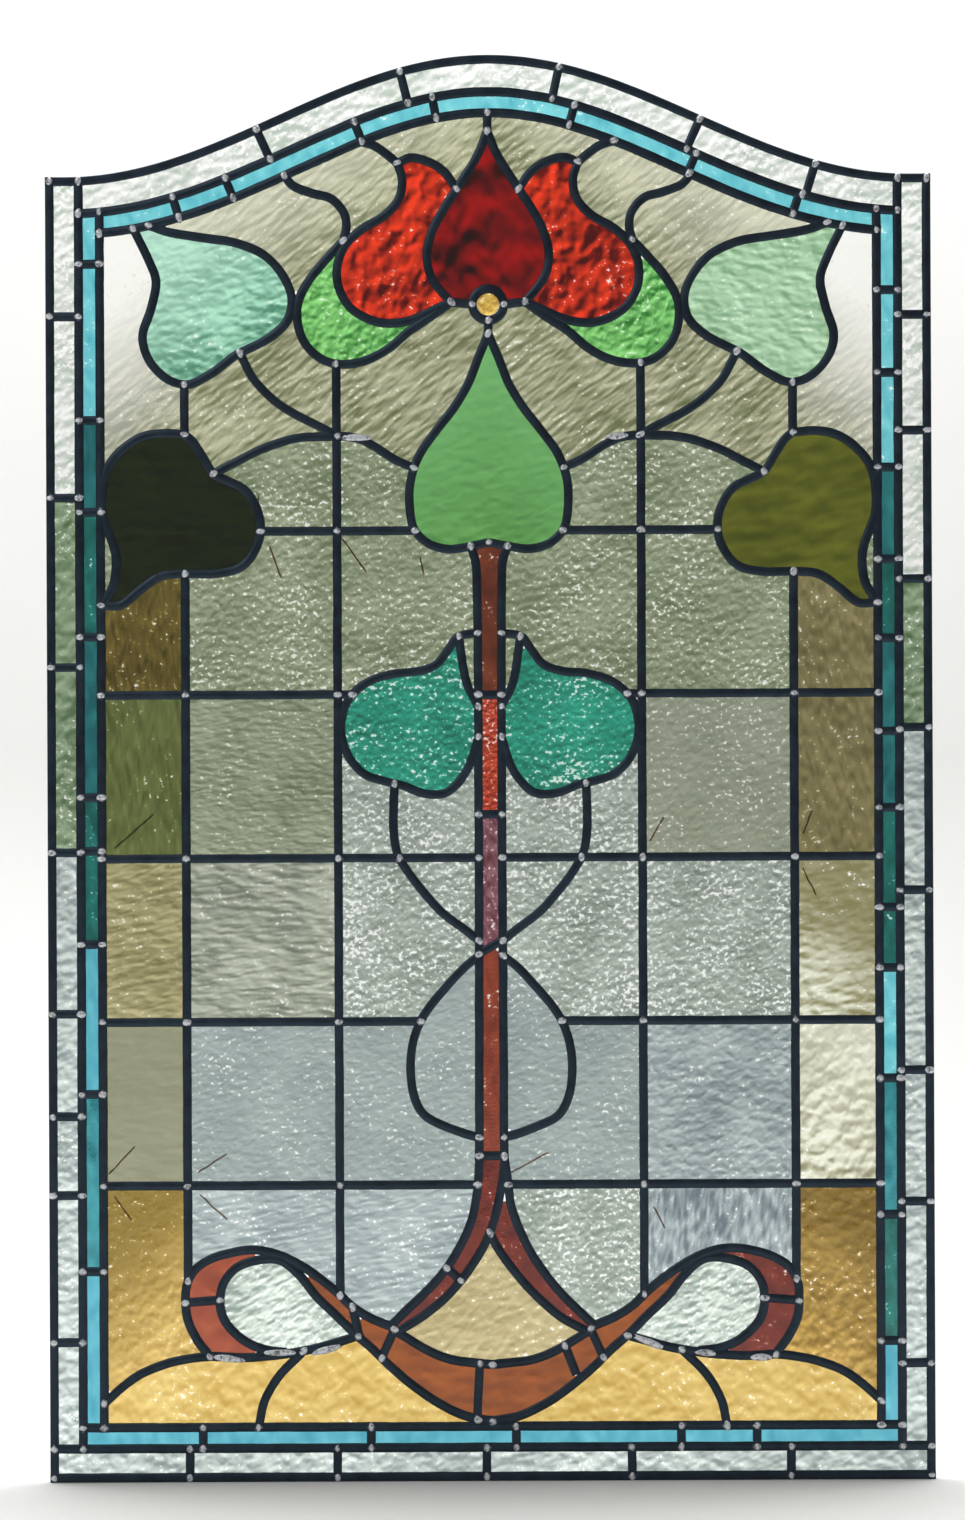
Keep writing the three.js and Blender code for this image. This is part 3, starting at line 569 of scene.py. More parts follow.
def part_panel():
    """Parts the whole panel along its leads: returns its triangles by pane, and the places where leads join.

    A pane first spreads where no lead covers it, and only then under the leads, so that two panes
    that nearly touch under a wide lead stay apart. What lies closed in among crossing leads falls to
    a pane beside it at last.
    """
    lines = joined(curve_lines + border_leads, OVERSHOOT) + joined(rail_lines, RAIL_OVERSHOOT) + [ring]
    near = tree_of([p for line in lines for p in stepped(line, 1.0)])
    points, edges = [], []
    for line in lines:
        edges += [(len(points) + k, len(points) + k + 1) for k in range(len(line) - 1)]
        points += line
    draw = random.Random(7)
    for row in range(int(PANEL_HEIGHT / FILL_ROW)):
        z = row * FILL_ROW
        for column in range(int(PANEL_WIDTH / FILL_STEP)):
            x = (column + row % 2 / 2) * FILL_STEP - PANEL_WIDTH / 2
            x, up = x + draw.uniform(-FILL_SHAKE, FILL_SHAKE), z + draw.uniform(-FILL_SHAKE, FILL_SHAKE)
            if near.find((x, up, 0))[2] > FILL_CLEAR and up < arch_height(x, OUTER_RAIL["depth"]):
                points.append(Vector((x, up)))
    spots, sides, faces, _, drawn, _ = delaunay_2d_cdt(points, edges, [], 0, 1e-5, True)
    walls = {tuple(sorted(side)) for side, source in zip(sides, drawn) if source}
    across = {}
    for index, face in enumerate(faces):
        for a, b in zip(face, face[1:] + face[:1]):
            across.setdefault(tuple(sorted((a, b))), []).append(index)
    open_sides = set()
    for side in across:
        middle = (spots[side[0]] + spots[side[1]]) / 2
        if side not in walls and near.find((middle.x, middle.y, 0))[2] > OPEN_GLASS:
            open_sides.add(side)
    sides_of = [[tuple(sorted(pair)) for pair in zip(face, face[1:] + face[:1])] for face in faces]
    pane_of = [None] * len(faces)
    panes = []

    def spread(waiting, passes):
        for here in waiting:
            for side in sides_of[here]:
                if not passes(side):
                    continue
                for beside in across[side]:
                    if pane_of[beside] is None:
                        pane_of[beside] = pane_of[here]
                        panes[pane_of[here]].append(beside)
                        waiting.append(beside)

    for seed, around in enumerate(sides_of):
        if pane_of[seed] is None and not open_sides.isdisjoint(around):
            pane_of[seed] = len(panes)
            panes.append([seed])
            spread([seed], lambda side: side in open_sides)
    spread([face for pane in panes for face in pane], lambda side: side not in walls)
    spread([face for pane in panes for face in pane], lambda side: True)
    panes = [[faces[face] for face in pane] for pane in panes]
    meets = {}
    for a, b in walls:
        meets.setdefault(a, set()).add(b)
        meets.setdefault(b, set()).add(a)
    corners = [spots[k] for k, others in meets.items() if len(others) > 2]
    return spots, panes, corners, near


def cluster(points, reach):
    """The middle of each group of points that lie close together."""
    groups = []
    for point in points:
        for group in groups:
            if (sum(group, Vector((0, 0))) / len(group) - point).length < reach:
                group.append(point)
                break
        else:
            groups.append([point])
    return [sum(group, Vector((0, 0))) / len(group) for group in groups]


class Pane:
    """One pane: its triangles, its deepest place and how far that lies from the nearest lead's middle."""

    def __init__(self, spots, faces, near):
        self.faces = faces
        self.spots = spots
        stride = 1 + len(faces) // 300
        places = [sum((spots[k] for k in face), Vector((0, 0))) / 3 for face in faces[::stride]]
        reach = [(near.find((p.x, p.y, 0))[2], index) for index, p in enumerate(places)]
        self.reach, deepest = max(reach)
        self.deepest = places[deepest]
        middle = sum(places, Vector((0, 0))) / len(places)
        self.up = (middle.y - INNER_RAIL["foot"]) / FIELD_HEIGHT * 100


spots, parted, corners, near_lead = part_panel()
all_panes = [Pane(spots, faces, near_lead) for faces in parted]
all_panes = [
    pane for pane in all_panes
    if pane.reach > SMALLEST_OPENING and (pane.deepest - place(JEWEL_SPOT)).length > RING_RADIUS
    and 0 < pane.deepest.y < arch_height(pane.deepest.x, OUTER_RAIL["depth"])
    and abs(pane.deepest.x) < OUTER_RAIL["side"]
]
joints = cluster(corners, JOINT_REACH)

glass_nodes = {
    name: BVHTree.FromPolygons([v.co for v in node.data.vertices], [p.vertices for p in node.data.polygons])
    for name, node in frame["nodes"].items() if name not in ("lead_came_net", "jewel")
}


def node_behind(pane):
    """The CAD node that lies behind a pane's deepest place, or None for a narrow slip."""
    start = Vector((pane.deepest.x * MM, -1, pane.deepest.y * MM))
    for name, tree in glass_nodes.items():
        if tree.ray_cast(start, Vector((0, 1, 0)))[0] is not None:
            return name
    return None


def glass_of(pane, node):
    """The kind of glass that a pane is cut from."""
    both_sides = node.rsplit("_", 1)[0]
    kinds = NODE_GLASS.get(node) or NODE_GLASS.get(both_sides, SLIP_GLASS)
    if isinstance(kinds, str):
        return kinds
    return next((kind for least, kind in kinds if pane.up >= least), kinds[-1][1])


node_panes = {}
for pane in all_panes:
    node_panes.setdefault(node_behind(pane), []).append(pane)
unglazed = [name for name in glass_nodes if name not in node_panes]
if unglazed:
    raise RuntimeError("no pane lies over " + ", ".join(unglazed))


def new_piece(name, mesh, slot, *replaced):
    """Links a finished mesh as a piece that rides on the body."""
    piece = bpy.data.objects.new(name, mesh)
    bpy.context.scene.collection.objects.link(piece)
    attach(piece, "root")
    if replaced:
        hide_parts(*replaced)
    return piece


def add(tree, kind, settings=None, **links):
    """Adds a node with its settings, of which stops are a ramp's places and linear colours.

    A link is named by its socket, or i and the socket's number.
    """
    node = tree.nodes.new(kind)
    for name, value in (settings or {}).items():
        if name == "stops":
            for element, (at, colour) in zip(node.color_ramp.elements, value):
                element.position = at
                element.color = (*colour, 1)
        elif isinstance(name, str) and hasattr(node, name):
            setattr(node, name, value)
        else:
            node.inputs[name].default_value = value
    for name, source in links.items():
        socket = int(name[1:]) if name[1:].isdigit() else name.replace("_", " ")
        tree.links.new(source, node.inputs[socket])
    return node


def new_material(name):
    """An empty material, its nodes, and the place on the object that its patterns read."""
    material = bpy.data.materials.new(name)
    material.use_nodes = True
    tree = material.node_tree
    tree.nodes.clear()
    return material, tree, add(tree, "ShaderNodeTexCoord").outputs["Object"]


def finish_material(tree, shader):
    add(tree, "ShaderNodeOutputMaterial", Surface=shader.outputs[0])


def glass_material(kind):
    """Soda-lime cathedral glass, rolled or hammered while hot, with the tint of one kind of pane."""
    name = f"glass_{kind}"
    if name in bpy.data.materials:
        return bpy.data.materials[name]
    _, _, width, height, turn, tone_and_shade_contrast, seed_glint_share, _, roughness = GLASS[kind]
    tints = bpy.context.scene.window_glass
    dark, light = (tuple(getattr(tints, f"{kind}_{shade}")) for shade in ("dark", "light"))
    material, tree, where = new_material(name)
    turned = add(tree, "ShaderNodeMapping", {"Rotation": (0, math.radians(turn), 0)}, Vector=where)

    # The grain, read twice a little apart, paints light on one slope of the rolled face and shade on the
    # other
    grain = []
    for shift in (0, GRAIN_SHIFT):
        placing = {"Scale": (1000 / width, 100, 1000 / height), "Location": (shift / 4, 0, shift)}
        at = add(tree, "ShaderNodeMapping", placing, Vector=turned.outputs["Vector"]).outputs["Vector"]
        rolled = {"Scale": 1, "Detail": 1.2, "Roughness": 0.5, "Distortion": 0.3}
        grain.append(add(tree, "ShaderNodeTexNoise", rolled, Vector=at).outputs["Fac"])
    # Painted light and shade of the slopes: the difference of the two reads
    slope = add(tree, "ShaderNodeMath", {"operation": "SUBTRACT"}, i0=grain[0], i1=grain[1]).outputs["Value"]
    cloud = add(tree, "ShaderNodeTexNoise", {"Scale": 24, "Detail": 2}, Vector=where).outputs["Fac"]
    # Uneven tone of the glass, with the painted light and shade of the slopes laid on it
    uneven = add(tree, "ShaderNodeMath", {"operation": "MULTIPLY_ADD", 1: 0.6}, i0=cloud, i2=slope)
    spread = 0.26 / tone_and_shade_contrast
    share = add(tree, "ShaderNodeMapRange", {"From Min": 0.3 - spread, "From Max": 0.3 + spread},
                Value=uneven.outputs["Value"])
    colour = add(tree, "ShaderNodeValToRGB", {"stops": [(0, dark), (1, light)]},
                 Fac=share.outputs["Result"]).outputs["Color"]

    # Painted light and shade: the tint turns towards another one upwards and outwards
    if kind in PAINTED_BACKLIGHT_FADES:
        least, most, top, shown = PAINTED_BACKLIGHT_FADES[kind]
        spot = add(tree, "ShaderNodeSeparateXYZ", Vector=where)
        outwards = add(tree, "ShaderNodeMath", {"operation": "ABSOLUTE"}, i0=spot.outputs["X"])
        both = add(tree, "ShaderNodeMath", {"operation": "MULTIPLY_ADD", 1: BACKLIGHT_OUTWARDS},
                   i0=outwards.outputs["Value"], i2=spot.outputs["Z"])
        painted_backlight_share = add(tree, "ShaderNodeMapRange", {
            "From Min": least * MM,
            "From Max": most * MM,
            "To Max": shown,
        }, Value=both.outputs["Value"])
        colour = add(tree, "ShaderNodeMix", {"data_type": "RGBA", 7: (*linear(top), 1)},
                     i0=painted_backlight_share.outputs["Result"], i6=colour).outputs[2]

    # Painted glints: pale specks where the seed bubbles catch the light, in clusters and on one slope of the
    # grain
    if seed_glint_share:
        seed_at = add(tree, "ShaderNodeMapping", {"Scale": (330, 60, 400)}, Vector=where).outputs["Vector"]
        specks = add(tree, "ShaderNodeTexNoise", {"Scale": 1, "Detail": 1, "Roughness": 0.6},
                     Vector=seed_at).outputs["Fac"]
        patches = add(tree, "ShaderNodeTexNoise", {"Scale": 26, "Detail": 1}, Vector=where).outputs["Fac"]
        lit = add(tree, "ShaderNodeMath", {"operation": "MULTIPLY_ADD", 1: 0.35}, i0=patches, i2=specks)
        glint_on_slope = add(tree, "ShaderNodeMath", {"operation": "MULTIPLY_ADD", 1: 0.5}, i0=slope,
                     i2=lit.outputs["Value"])
        least = 0.90 - 0.40 * seed_glint_share
        # Where the painted glints show
        bright = add(tree, "ShaderNodeMapRange", {"From Min": least, "From Max": least + 0.05},
                     Value=glint_on_slope.outputs["Value"])
        # The pale colour of the painted glints
        pale = tuple(0.7 + 0.3 * c for c in light)
        colour = add(tree, "ShaderNodeMix", {"data_type": "RGBA", 7: (*pale, 1)},
                     i0=bright.outputs["Result"], i6=colour).outputs[2]

    fine = add(tree, "ShaderNodeTexNoise", {"Scale": 500, "Detail": 2}, Vector=where).outputs["Fac"]
    rise = add(tree, "ShaderNodeMath", {"operation": "MULTIPLY_ADD", 1: 0.25}, i0=fine, i2=grain[0])
    bump = add(tree, "ShaderNodeBump", {"Strength": 0.6, "Distance": 0.0008}, Height=rise.outputs["Value"])
    shader = add(tree, "ShaderNodeBsdfPrincipled", {
        "Roughness": roughness,
        "IOR": 1.52,
        "Specular IOR Level": 0.25,
        "Transmission Weight": 1.0,
    }, Base_Color=colour, Normal=bump.outputs["Normal"])
    finish_material(tree, shader)
    return material


def lead_material():
    """Lead came, rolled and blackened with patina, which turns to bright solder at the joints."""
    name = "patinated_lead"
    if name in bpy.data.materials:
        return bpy.data.materials[name]
    tints = bpy.context.scene.window_lead
    material, tree, where = new_material(name)
    blotch = add(tree, "ShaderNodeTexNoise", {"Scale": 90, "Detail": 4, "Roughness": 0.6},
                 Vector=where).outputs["Fac"]
    fine = add(tree, "ShaderNodeTexNoise", {"Scale": 900, "Detail": 3, "Roughness": 0.7},
               Vector=where).outputs["Fac"]
    stops = [(0.3, tuple(0.6 * c for c in tints.lead)), (0.7, tuple(tints.lead))]
    lead = add(tree, "ShaderNodeValToRGB", {"stops": stops}, Fac=blotch).outputs["Color"]
    tinned = add(tree, "ShaderNodeAttribute", {"attribute_name": "solder"}).outputs["Fac"]
    broken = add(tree, "ShaderNodeMath", {"operation": "MULTIPLY_ADD", 1: 0.9}, i0=fine, i2=tinned)
    share = add(tree, "ShaderNodeMapRange", {"From Min": 0.8, "From Max": 1.15},
                Value=broken.outputs["Value"])
    colour = add(tree, "ShaderNodeMix", {"data_type": "RGBA", 7: (*tints.solder, 1)},
                 i0=share.outputs["Result"], i6=lead).outputs[2]
    rough = add(tree, "ShaderNodeMapRange", {
        "From Min": 0.3,
        "From Max": 0.7,
        "To Min": 0.3,
        "To Max": 0.52,
    }, Value=blotch)
    bump = add(tree, "ShaderNodeBump", {"Strength": 0.35, "Distance": 0.0003}, Height=fine)
    shader = add(tree, "ShaderNodeBsdfPrincipled", {"Metallic": 0.85}, Base_Color=colour,
                 Roughness=rough.outputs["Result"], Normal=bump.outputs["Normal"])
    finish_material(tree, shader)
    return material


def solder_material():
    """Tin-lead solder, melted into a bright lump with dull flux round it."""
    name = "tin_lead_solder"
    if name in bpy.data.materials:
        return bpy.data.materials[name]
    solder = tuple(bpy.context.scene.window_lead.solder)
    material, tree, where = new_material(name)
    crust = add(tree, "ShaderNodeTexNoise", {"Scale": 420, "Detail": 4, "Roughness": 0.7},
                Vector=where).outputs["Fac"]
    stops = [(0.36, tuple(0.2 * c for c in solder)), (0.5, solder)]
    colour = add(tree, "ShaderNodeValToRGB", {"stops": stops}, Fac=crust).outputs["Color"]
    bump = add(tree, "ShaderNodeBump", {"Strength": 0.6, "Distance": 0.0004}, Height=crust)
    shader = add(tree, "ShaderNodeBsdfPrincipled", {"Metallic": 0.45, "Roughness": 0.3}, Base_Color=colour,
                 Normal=bump.outputs["Normal"])
    finish_material(tree, shader)
    return material


def copper_material():
    """Drawn copper wire, dulled brown in the air."""
    name = "dull_copper_wire"
    if name in bpy.data.materials:
        return bpy.data.materials[name]
    copper = tuple(bpy.context.scene.window_lead.copper)
    material, tree, where = new_material(name)
    tarnish = add(tree, "ShaderNodeTexNoise", {"Scale": 260, "Detail": 3}, Vector=where).outputs["Fac"]
    stops = [(0.35, tuple(0.7 * c for c in copper)), (0.65, copper)]
    colour = add(tree, "ShaderNodeValToRGB", {"stops": stops}, Fac=tarnish).outputs["Color"]
    shader = add(tree, "ShaderNodeBsdfPrincipled", {"Metallic": 1, "Roughness": 0.3}, Base_Color=colour)
    finish_material(tree, shader)
    return material


def finished(made, name):
    """The mesh that was made, freed of its workings."""
    mesh = bpy.data.meshes.new(name)
    made.to_mesh(mesh)
    made.free()
    return mesh


def sharpen(mesh, degrees=40):
    mesh.polygons.foreach_set("use_smooth", [True] * len(mesh.polygons))
    mesh.set_sharp_from_angle(angle=math.radians(degrees))


def face_outwards(made):
    """Turns every closed shell's faces outwards, going by its volume, which holds for thin bent slabs too."""
    bmesh.ops.recalc_face_normals(made, faces=made.faces[:])
    made.normal_update()
    for face in made.faces:
        face.tag = False
    for first in made.faces[:]:
        if first.tag:
            continue
        first.tag = True
        shell = [first]
        for face in shell:
            beside = [other for edge in face.edges for other in edge.link_faces]
            for other in beside:
                if not other.tag:
                    other.tag = True
                    shell.append(other)
        here = first.verts[0].co
        volume = sum(face.calc_area() * face.normal.dot(face.calc_center_median() - here) for face in shell)
        if volume < 0:
            bmesh.ops.reverse_faces(made, faces=shell)


def face_relief(kind, x, z):
    """How far the rolled face stands out at a place, in millimetres."""
    _, _, width, height, turn, _, _, depth, _ = GLASS[kind]
    turn = math.radians(turn)
    u = (x * math.cos(turn) - z * math.sin(turn)) / width
    v = (x * math.sin(turn) + z * math.cos(turn)) / height
    return depth * (noise.noise((u, v, 3)) + 0.5 * noise.noise((2.1 * u, 2.1 * v, 9)))


def pane_rim(pane):
    """How far each rim corner of a pane moves inwards, clear of the came's heart."""
    sides = {}
    for face in pane.faces:
        for a, b in zip(face, face[1:] + face[:1]):
            sides[(a, b)] = True
    pushes = {}
    for a, b in sides:
        if (b, a) in sides:
            continue
        along = (pane.spots[b] - pane.spots[a]).normalized()
        inwards = Vector((-along.y, along.x))
        for corner in (a, b):
            pushes.setdefault(corner, []).append(inwards)
    rim = {}
    for corner, ways in pushes.items():
        total = sum(ways, Vector((0, 0)))
        size = max(total.length_squared, 0.6)
        rim[corner] = total * (len(ways) * (HEART_HALF + HEART_GAP) / size)
    return rim


def glass_mesh(name, panes):
    """Panes of one CAD node as closed slabs: a relief of the rolled face in front, flat behind."""
    kinds = [glass_of(pane, name) for pane in panes]
    used = sorted(set(kinds))
    made = bmesh.new()
    for pane, kind in zip(panes, kinds):
        rim = pane_rim(pane)
        corner = {}
        for face in pane.faces:
            for k in face:
                if k not in corner:
                    spot = pane.spots[k] + rim.get(k, Vector((0, 0)))
                    corner[k] = made.verts.new((spot.x * MM, GLASS_THICKNESS / 2 * MM, spot.y * MM))
        fronts = []
        for face in pane.faces:
            front = made.faces.new([corner[k] for k in face])
            front.material_index = used.index(kind)
            fronts.append(front)
        grown = bmesh.ops.extrude_face_region(made, geom=fronts)["geom"]
        for item in grown:
            if isinstance(item, bmesh.types.BMVert):
                x, z = item.co.x / MM, item.co.z / MM
                inwards = near_lead.find((x, z, 0))[2] - RELIEF_FROM
                held = min(1, max(0, inwards / (RELIEF_FULL - RELIEF_FROM)))
                item.co.y = (-GLASS_THICKNESS / 2 - held * face_relief(kind, x, z)) * MM
    face_outwards(made)
    mesh = finished(made, name)
    for kind in used:
        mesh.materials.append(glass_material(kind))
    sharpen(mesh)
    return mesh


def glaze(*starts):
    """Makes the panes of every CAD node whose name starts with one of these words."""
    for name in sorted(n for n in node_panes if n is not None and n.startswith(starts)):
        new_piece(f"{name}_glass", glass_mesh(name, node_panes[name]), NODE_SLOT.get(name, OTHER_SLOT), name)


def came_section(half, depth):
    """The came's H section, across and out from the middle: two rounded leaves with the heart between."""
    leaf = [(-half, 0.72), (-0.78 * half, 0.92), (0, 1), (0.78 * half, 0.92), (half, 0.72)]
    front = [(x, depth * y) for x, y in leaf]
    under = [(half - 0.1, depth * 0.58), (HEART_HALF, depth * 0.58)]
    right = front[2:] + under
    lower = [(x, -y) for x, y in reversed(right)]
    right_side = right + lower
    left_side = [(-x, -y) for x, y in right_side]
    return right_side[:-1] + left_side[:-1]


joint_tree = tree_of(joints)


def finer(line):
    """The same line, with short steps close to the soldered joints."""
    made = [line[0]]
    for a, b in zip(line, line[1:]):
        count = max(1, round((b - a).length / FINE_STEP))
        for k in range(1, count + 1):
            point = a.lerp(b, k / count)
            if k == count or joint_tree.find((point.x, point.y, 0))[2] < FINE_REACH:
                made.append(point)
    return made


def swept(name, lines, closed=()):
    """Cames as one mesh: the H section swept along each line."""
    settings = bpy.context.scene.window_lead
    section = bpy.data.curves.new(name + "_section", "CURVE")
    section.dimensions = "2D"
    outline = came_section(settings.came_width / MM / 2, PANEL_DEPTH / 2)
    spline = section.splines.new("POLY")
    spline.points.add(len(outline) - 1)
    for point, (x, y) in zip(spline.points, outline):
        point.co = (x * MM, y * MM, 0, 1)
    spline.use_cyclic_u = True
    section_object = bpy.data.objects.new(name + "_section", section)
    path = bpy.data.curves.new(name + "_path", "CURVE")
    path.dimensions = "2D"
    path.fill_mode = "NONE"
    path.bevel_mode = "OBJECT"
    path.bevel_object = section_object
    path.use_fill_caps = True
    for group, cyclic in ((lines, False), (closed, True)):
        for line in group:
            spline = path.splines.new("POLY")
            line = finer(line)
            points = line[:-1] if cyclic else line
            spline.points.add(len(points) - 1)
            for point, spot in zip(spline.points, points):
                point.co = (spot.x * MM, spot.y * MM, 0, 1)
            spline.use_cyclic_u = cyclic
    path_object = bpy.data.objects.new(name + "_path", path)
    for item in (section_object, path_object):
        bpy.context.scene.collection.objects.link(item)
    bpy.context.view_layer.update()
    graph = bpy.context.evaluated_depsgraph_get()
    mesh = bpy.data.meshes.new_from_object(path_object.evaluated_get(graph))
    for item in (section_object, path_object):
        bpy.data.objects.remove(item)
    mesh.name = name
    return mesh


def age_cames(mesh):
    """Stands the cames up in the panel, uneven from hand work and swollen with solder at the joints."""
    made = bmesh.new()
    made.from_mesh(mesh)
    bmesh.ops.remove_doubles(made, verts=made.verts[:], dist=1e-6)
    bmesh.ops.rotate(made, verts=made.verts[:], cent=(0, 0, 0), matrix=STAND_UP)
    bmesh.ops.recalc_face_normals(made, faces=made.faces[:])
    tinned = made.verts.layers.float.new("solder")
    reach = bpy.context.scene.window_lead.solder_reach / MM
    noise.seed_set(CAME_SEED)
    for vert in made.verts:
        x, z = vert.co.x / MM, vert.co.z / MM
        away = joint_tree.find((x, z, 0))[2]
        share = max(0, 1 - away / reach)
        vert[tinned] = share * (0.8 + 0.6 * noise.noise((x / 3, z / 3, vert.co.y / MM)))
        wander = noise.noise_vector((x / 14, z / 14, 5)) * CAME_WANDER
        inside = abs(x) < OUTER_RAIL["side"] - 1 and 5 < z < arch_height(x, 5)
        if inside:
            vert.co.x += wander.x * MM
            vert.co.z += wander.y * MM
        vert.co.y *= 0.965 + 0.03 * share + 0.03 * min(0, noise.noise((x / 5, z / 5, 1)))
        x, z = within_panel(vert.co.x / MM, vert.co.z / MM)
        vert.co.x, vert.co.z = x * MM, z * MM
    made.to_mesh(mesh)
    made.free()
    mesh.materials.append(lead_material())
    sharpen(mesh, 35)
    return mesh


def within_panel(x, z, margin=0.25):
    """The place moved inside the panel's outer edge, where it would stand over it."""
    side = PANEL_WIDTH / 2 - margin
    x = max(-side, min(side, x))
    return x, max(margin, min(arch_height(x, margin), z))


def solder_mesh(name, lumps, side):
    """Lumps of solder on one face: each a low dome with its middle, its way and half its two sizes."""
    made = bmesh.new()
    draw = random.Random(11 if side < 0 else 12)
    height = FRONT_SOLDER if side < 0 else BACK_SOLDER
    for middle, way, long, wide in lumps:
        grown = bmesh.ops.create_uvsphere(made, u_segments=12, v_segments=7, radius=1)["verts"]
        shift = draw.uniform(0, 50)
        for vert in grown:
            u, v, out = vert.co
            ripple = 1 + 0.25 * noise.noise((u * 1.4 + shift, v * 1.4, out))
            u, v = u * long * ripple, v * wide * ripple
            spot = within_panel(middle.x + way.x * u - way.y * v, middle.y + way.y * u + way.x * v)
            vert.co = (spot[0] * MM, side * (PANEL_DEPTH / 2 * 0.88 + out * height) * MM, spot[1] * MM)
    face_outwards(made)
    mesh = finished(made, name)
    mesh.materials.append(solder_material())
    sharpen(mesh, 70)
    return mesh


def lead_ways(place_, lines):
    """The way in which the lead that ends nearest to a joint runs."""
    best, way = 1e9, Vector((1, 0))
    for line in lines:
        for end, beside in ((line[0], line[1]), (line[-1], line[-2])):
            away = (end - place_).length
            if away < best:
                best, way = away, (beside - end).normalized()
    return way


class WindowLead(bpy.types.PropertyGroup):
    """Sizes and colours of the lead, the solder and the copper ties."""

    came_width: FloatProperty(
        name="Came width", description="Width of each strip of lead",
        default=2 * CAME_HALF * MM, min=0.002, unit="LENGTH", subtype="DISTANCE")
    solder_radius: FloatProperty(
        name="Solder radius", description="Half the length of a lump of solder",
        default=2.3 * MM, min=0.001, unit="LENGTH", subtype="DISTANCE")
    solder_reach: FloatProperty(
        name="Tinned reach", description="How far solder runs along the lead from a joint",
        default=4.6 * MM, min=0.001, unit="LENGTH", subtype="DISTANCE")
    lead: FloatVectorProperty(
        name="Lead", description="Colour of the patinated lead",
        default=linear("333F4B"), subtype="COLOR", min=0, max=1)
    solder: FloatVectorProperty(
        name="Solder", description="Colour of the bright solder",
        default=linear("DADDE2"), subtype="COLOR", min=0, max=1)
    copper: FloatVectorProperty(
        name="Copper", description="Colour of the tie wires",
        default=linear("D89C70"), subtype="COLOR", min=0, max=1)


class WindowGlass(bpy.types.PropertyGroup):
    """Darker and lighter tint of each kind of glass."""


for kind_name, recipe in GLASS.items():
    for shade, code in zip(("dark", "light"), recipe):
        WindowGlass.__annotations__[f"{kind_name}_{shade}"] = FloatVectorProperty(
            name=f"{kind_name.replace('_', ' ').capitalize()}, {shade}",
            description=f"The {shade} tint of this glass",
            default=linear(code), subtype="COLOR", min=0, max=1)


class WindowStudio(bpy.types.PropertyGroup):
    """The plain studio round the window."""

    paper: FloatVectorProperty(
        name="Backdrop", description="Colour of the floor and backdrop",
        default=linear("F4F4F2"), subtype="COLOR", min=0, max=1)
    room: FloatProperty(
        name="Room light", description="Strength of the even light in the room",
        default=0.3, min=0, subtype="FACTOR")
    back_power: FloatProperty(
        name="Backdrop light", description="Power of the lamp on the backdrop",
        default=60, min=0, unit="POWER")
    key_power: FloatProperty(
        name="Key light", description="Power of the soft lamp in front",
        default=16, min=0, unit="POWER")


class WINDOW_OT_lead(bpy.types.Operator):
    """Sweeps the came along every drawn line"""

    bl_idname = "window.lead"
    bl_label = "Lead cames"

    def execute(self, context):
        corners_filled = [[line[0], *line[2:-2], line[-1]] for line in joined(rail_lines, CAME_HALF)]
        new_piece("lead_rails", age_cames(swept("lead_rails", corners_filled)), "lead_came", "lead_came_net")
        new_piece("lead_curves", age_cames(swept("lead_curves", curve_lines, [ring])), "lead_came")
        new_piece("lead_border_joints", age_cames(swept("lead_border_joints", border_leads)), "lead_came")
        return {"FINISHED"}


class WINDOW_OT_solder(bpy.types.Operator):
    """Melts a lump of solder over every joint, in front and behind"""

    bl_idname = "window.solder"
    bl_label = "Solder joints"

    def execute(self, context):
        draw = random.Random(21)
        size = context.scene.window_lead.solder_radius / MM
        lumps = []
        for joint in joints:
            way = lead_ways(joint, curve_lines + border_leads)
            grown = size * draw.uniform(0.85, 1.15)
            lumps.append((joint, way, grown * draw.uniform(1.1, 1.4), grown * draw.uniform(0.75, 0.95)))
        for start, end in SOLDER_PATCHES:
            start, end = place(start), place(end)
            way = (end - start).normalized()
            lumps.append(((start + end) / 2, way, (end - start).length / 2, CAME_HALF * 0.85))
        new_piece("solder_front", solder_mesh("solder_front", lumps, -1), "lead_came")
        new_piece("solder_back", solder_mesh("solder_back", lumps, 1), "lead_came")
        return {"FINISHED"}


class WINDOW_OT_ties(bpy.types.Operator):
    """Bends the copper tie wires over the back of the glass"""

    bl_idname = "window.ties"
    bl_label = "Copper ties"

    def execute(self, context):
        path = bpy.data.curves.new("tie_wires", "CURVE")
        path.dimensions = "3D"
        path.bevel_depth = WIRE_HALF * MM
        path.bevel_resolution = 2
        path.use_fill_caps = True
        for wire in TIE_WIRES:
            spline = path.splines.new("POLY")
            ends = [place(spot) for spot in wire]
            along = stepped(ends, WIRE_STEP)
            spline.points.add(len(along) - 1)
            for point, spot in zip(spline.points, along):
                bend = noise.noise((spot.x / 9, spot.y / 9, 2)) * WIRE_BEND
                back = PANEL_DEPTH / 2 - WIRE_HALF - 0.1
                point.co = ((spot.x + bend) * MM, back * MM, spot.y * MM, 1)
        path_object = bpy.data.objects.new("tie_wires_path", path)
        context.scene.collection.objects.link(path_object)
        context.view_layer.update()
        mesh = bpy.data.meshes.new_from_object(path_object.evaluated_get(context.evaluated_depsgraph_get()))
        bpy.data.objects.remove(path_object)
        mesh.name = "tie_wires"
        mesh.materials.clear()
        mesh.materials.append(copper_material())
        sharpen(mesh, 50)
        new_piece("tie_wires", mesh, "lead_came")
        return {"FINISHED"}


class WINDOW_OT_flower(bpy.types.Operator):
    """Glazes the flower and its leaves"""

    bl_idname = "window.flower"
    bl_label = "Flower and leaves"

    def execute(self, context):
        glaze("petal", "sepal", "upper_leaf", "heart_leaf", "side_leaf", "lower_leaf")
        return {"FINISHED"}


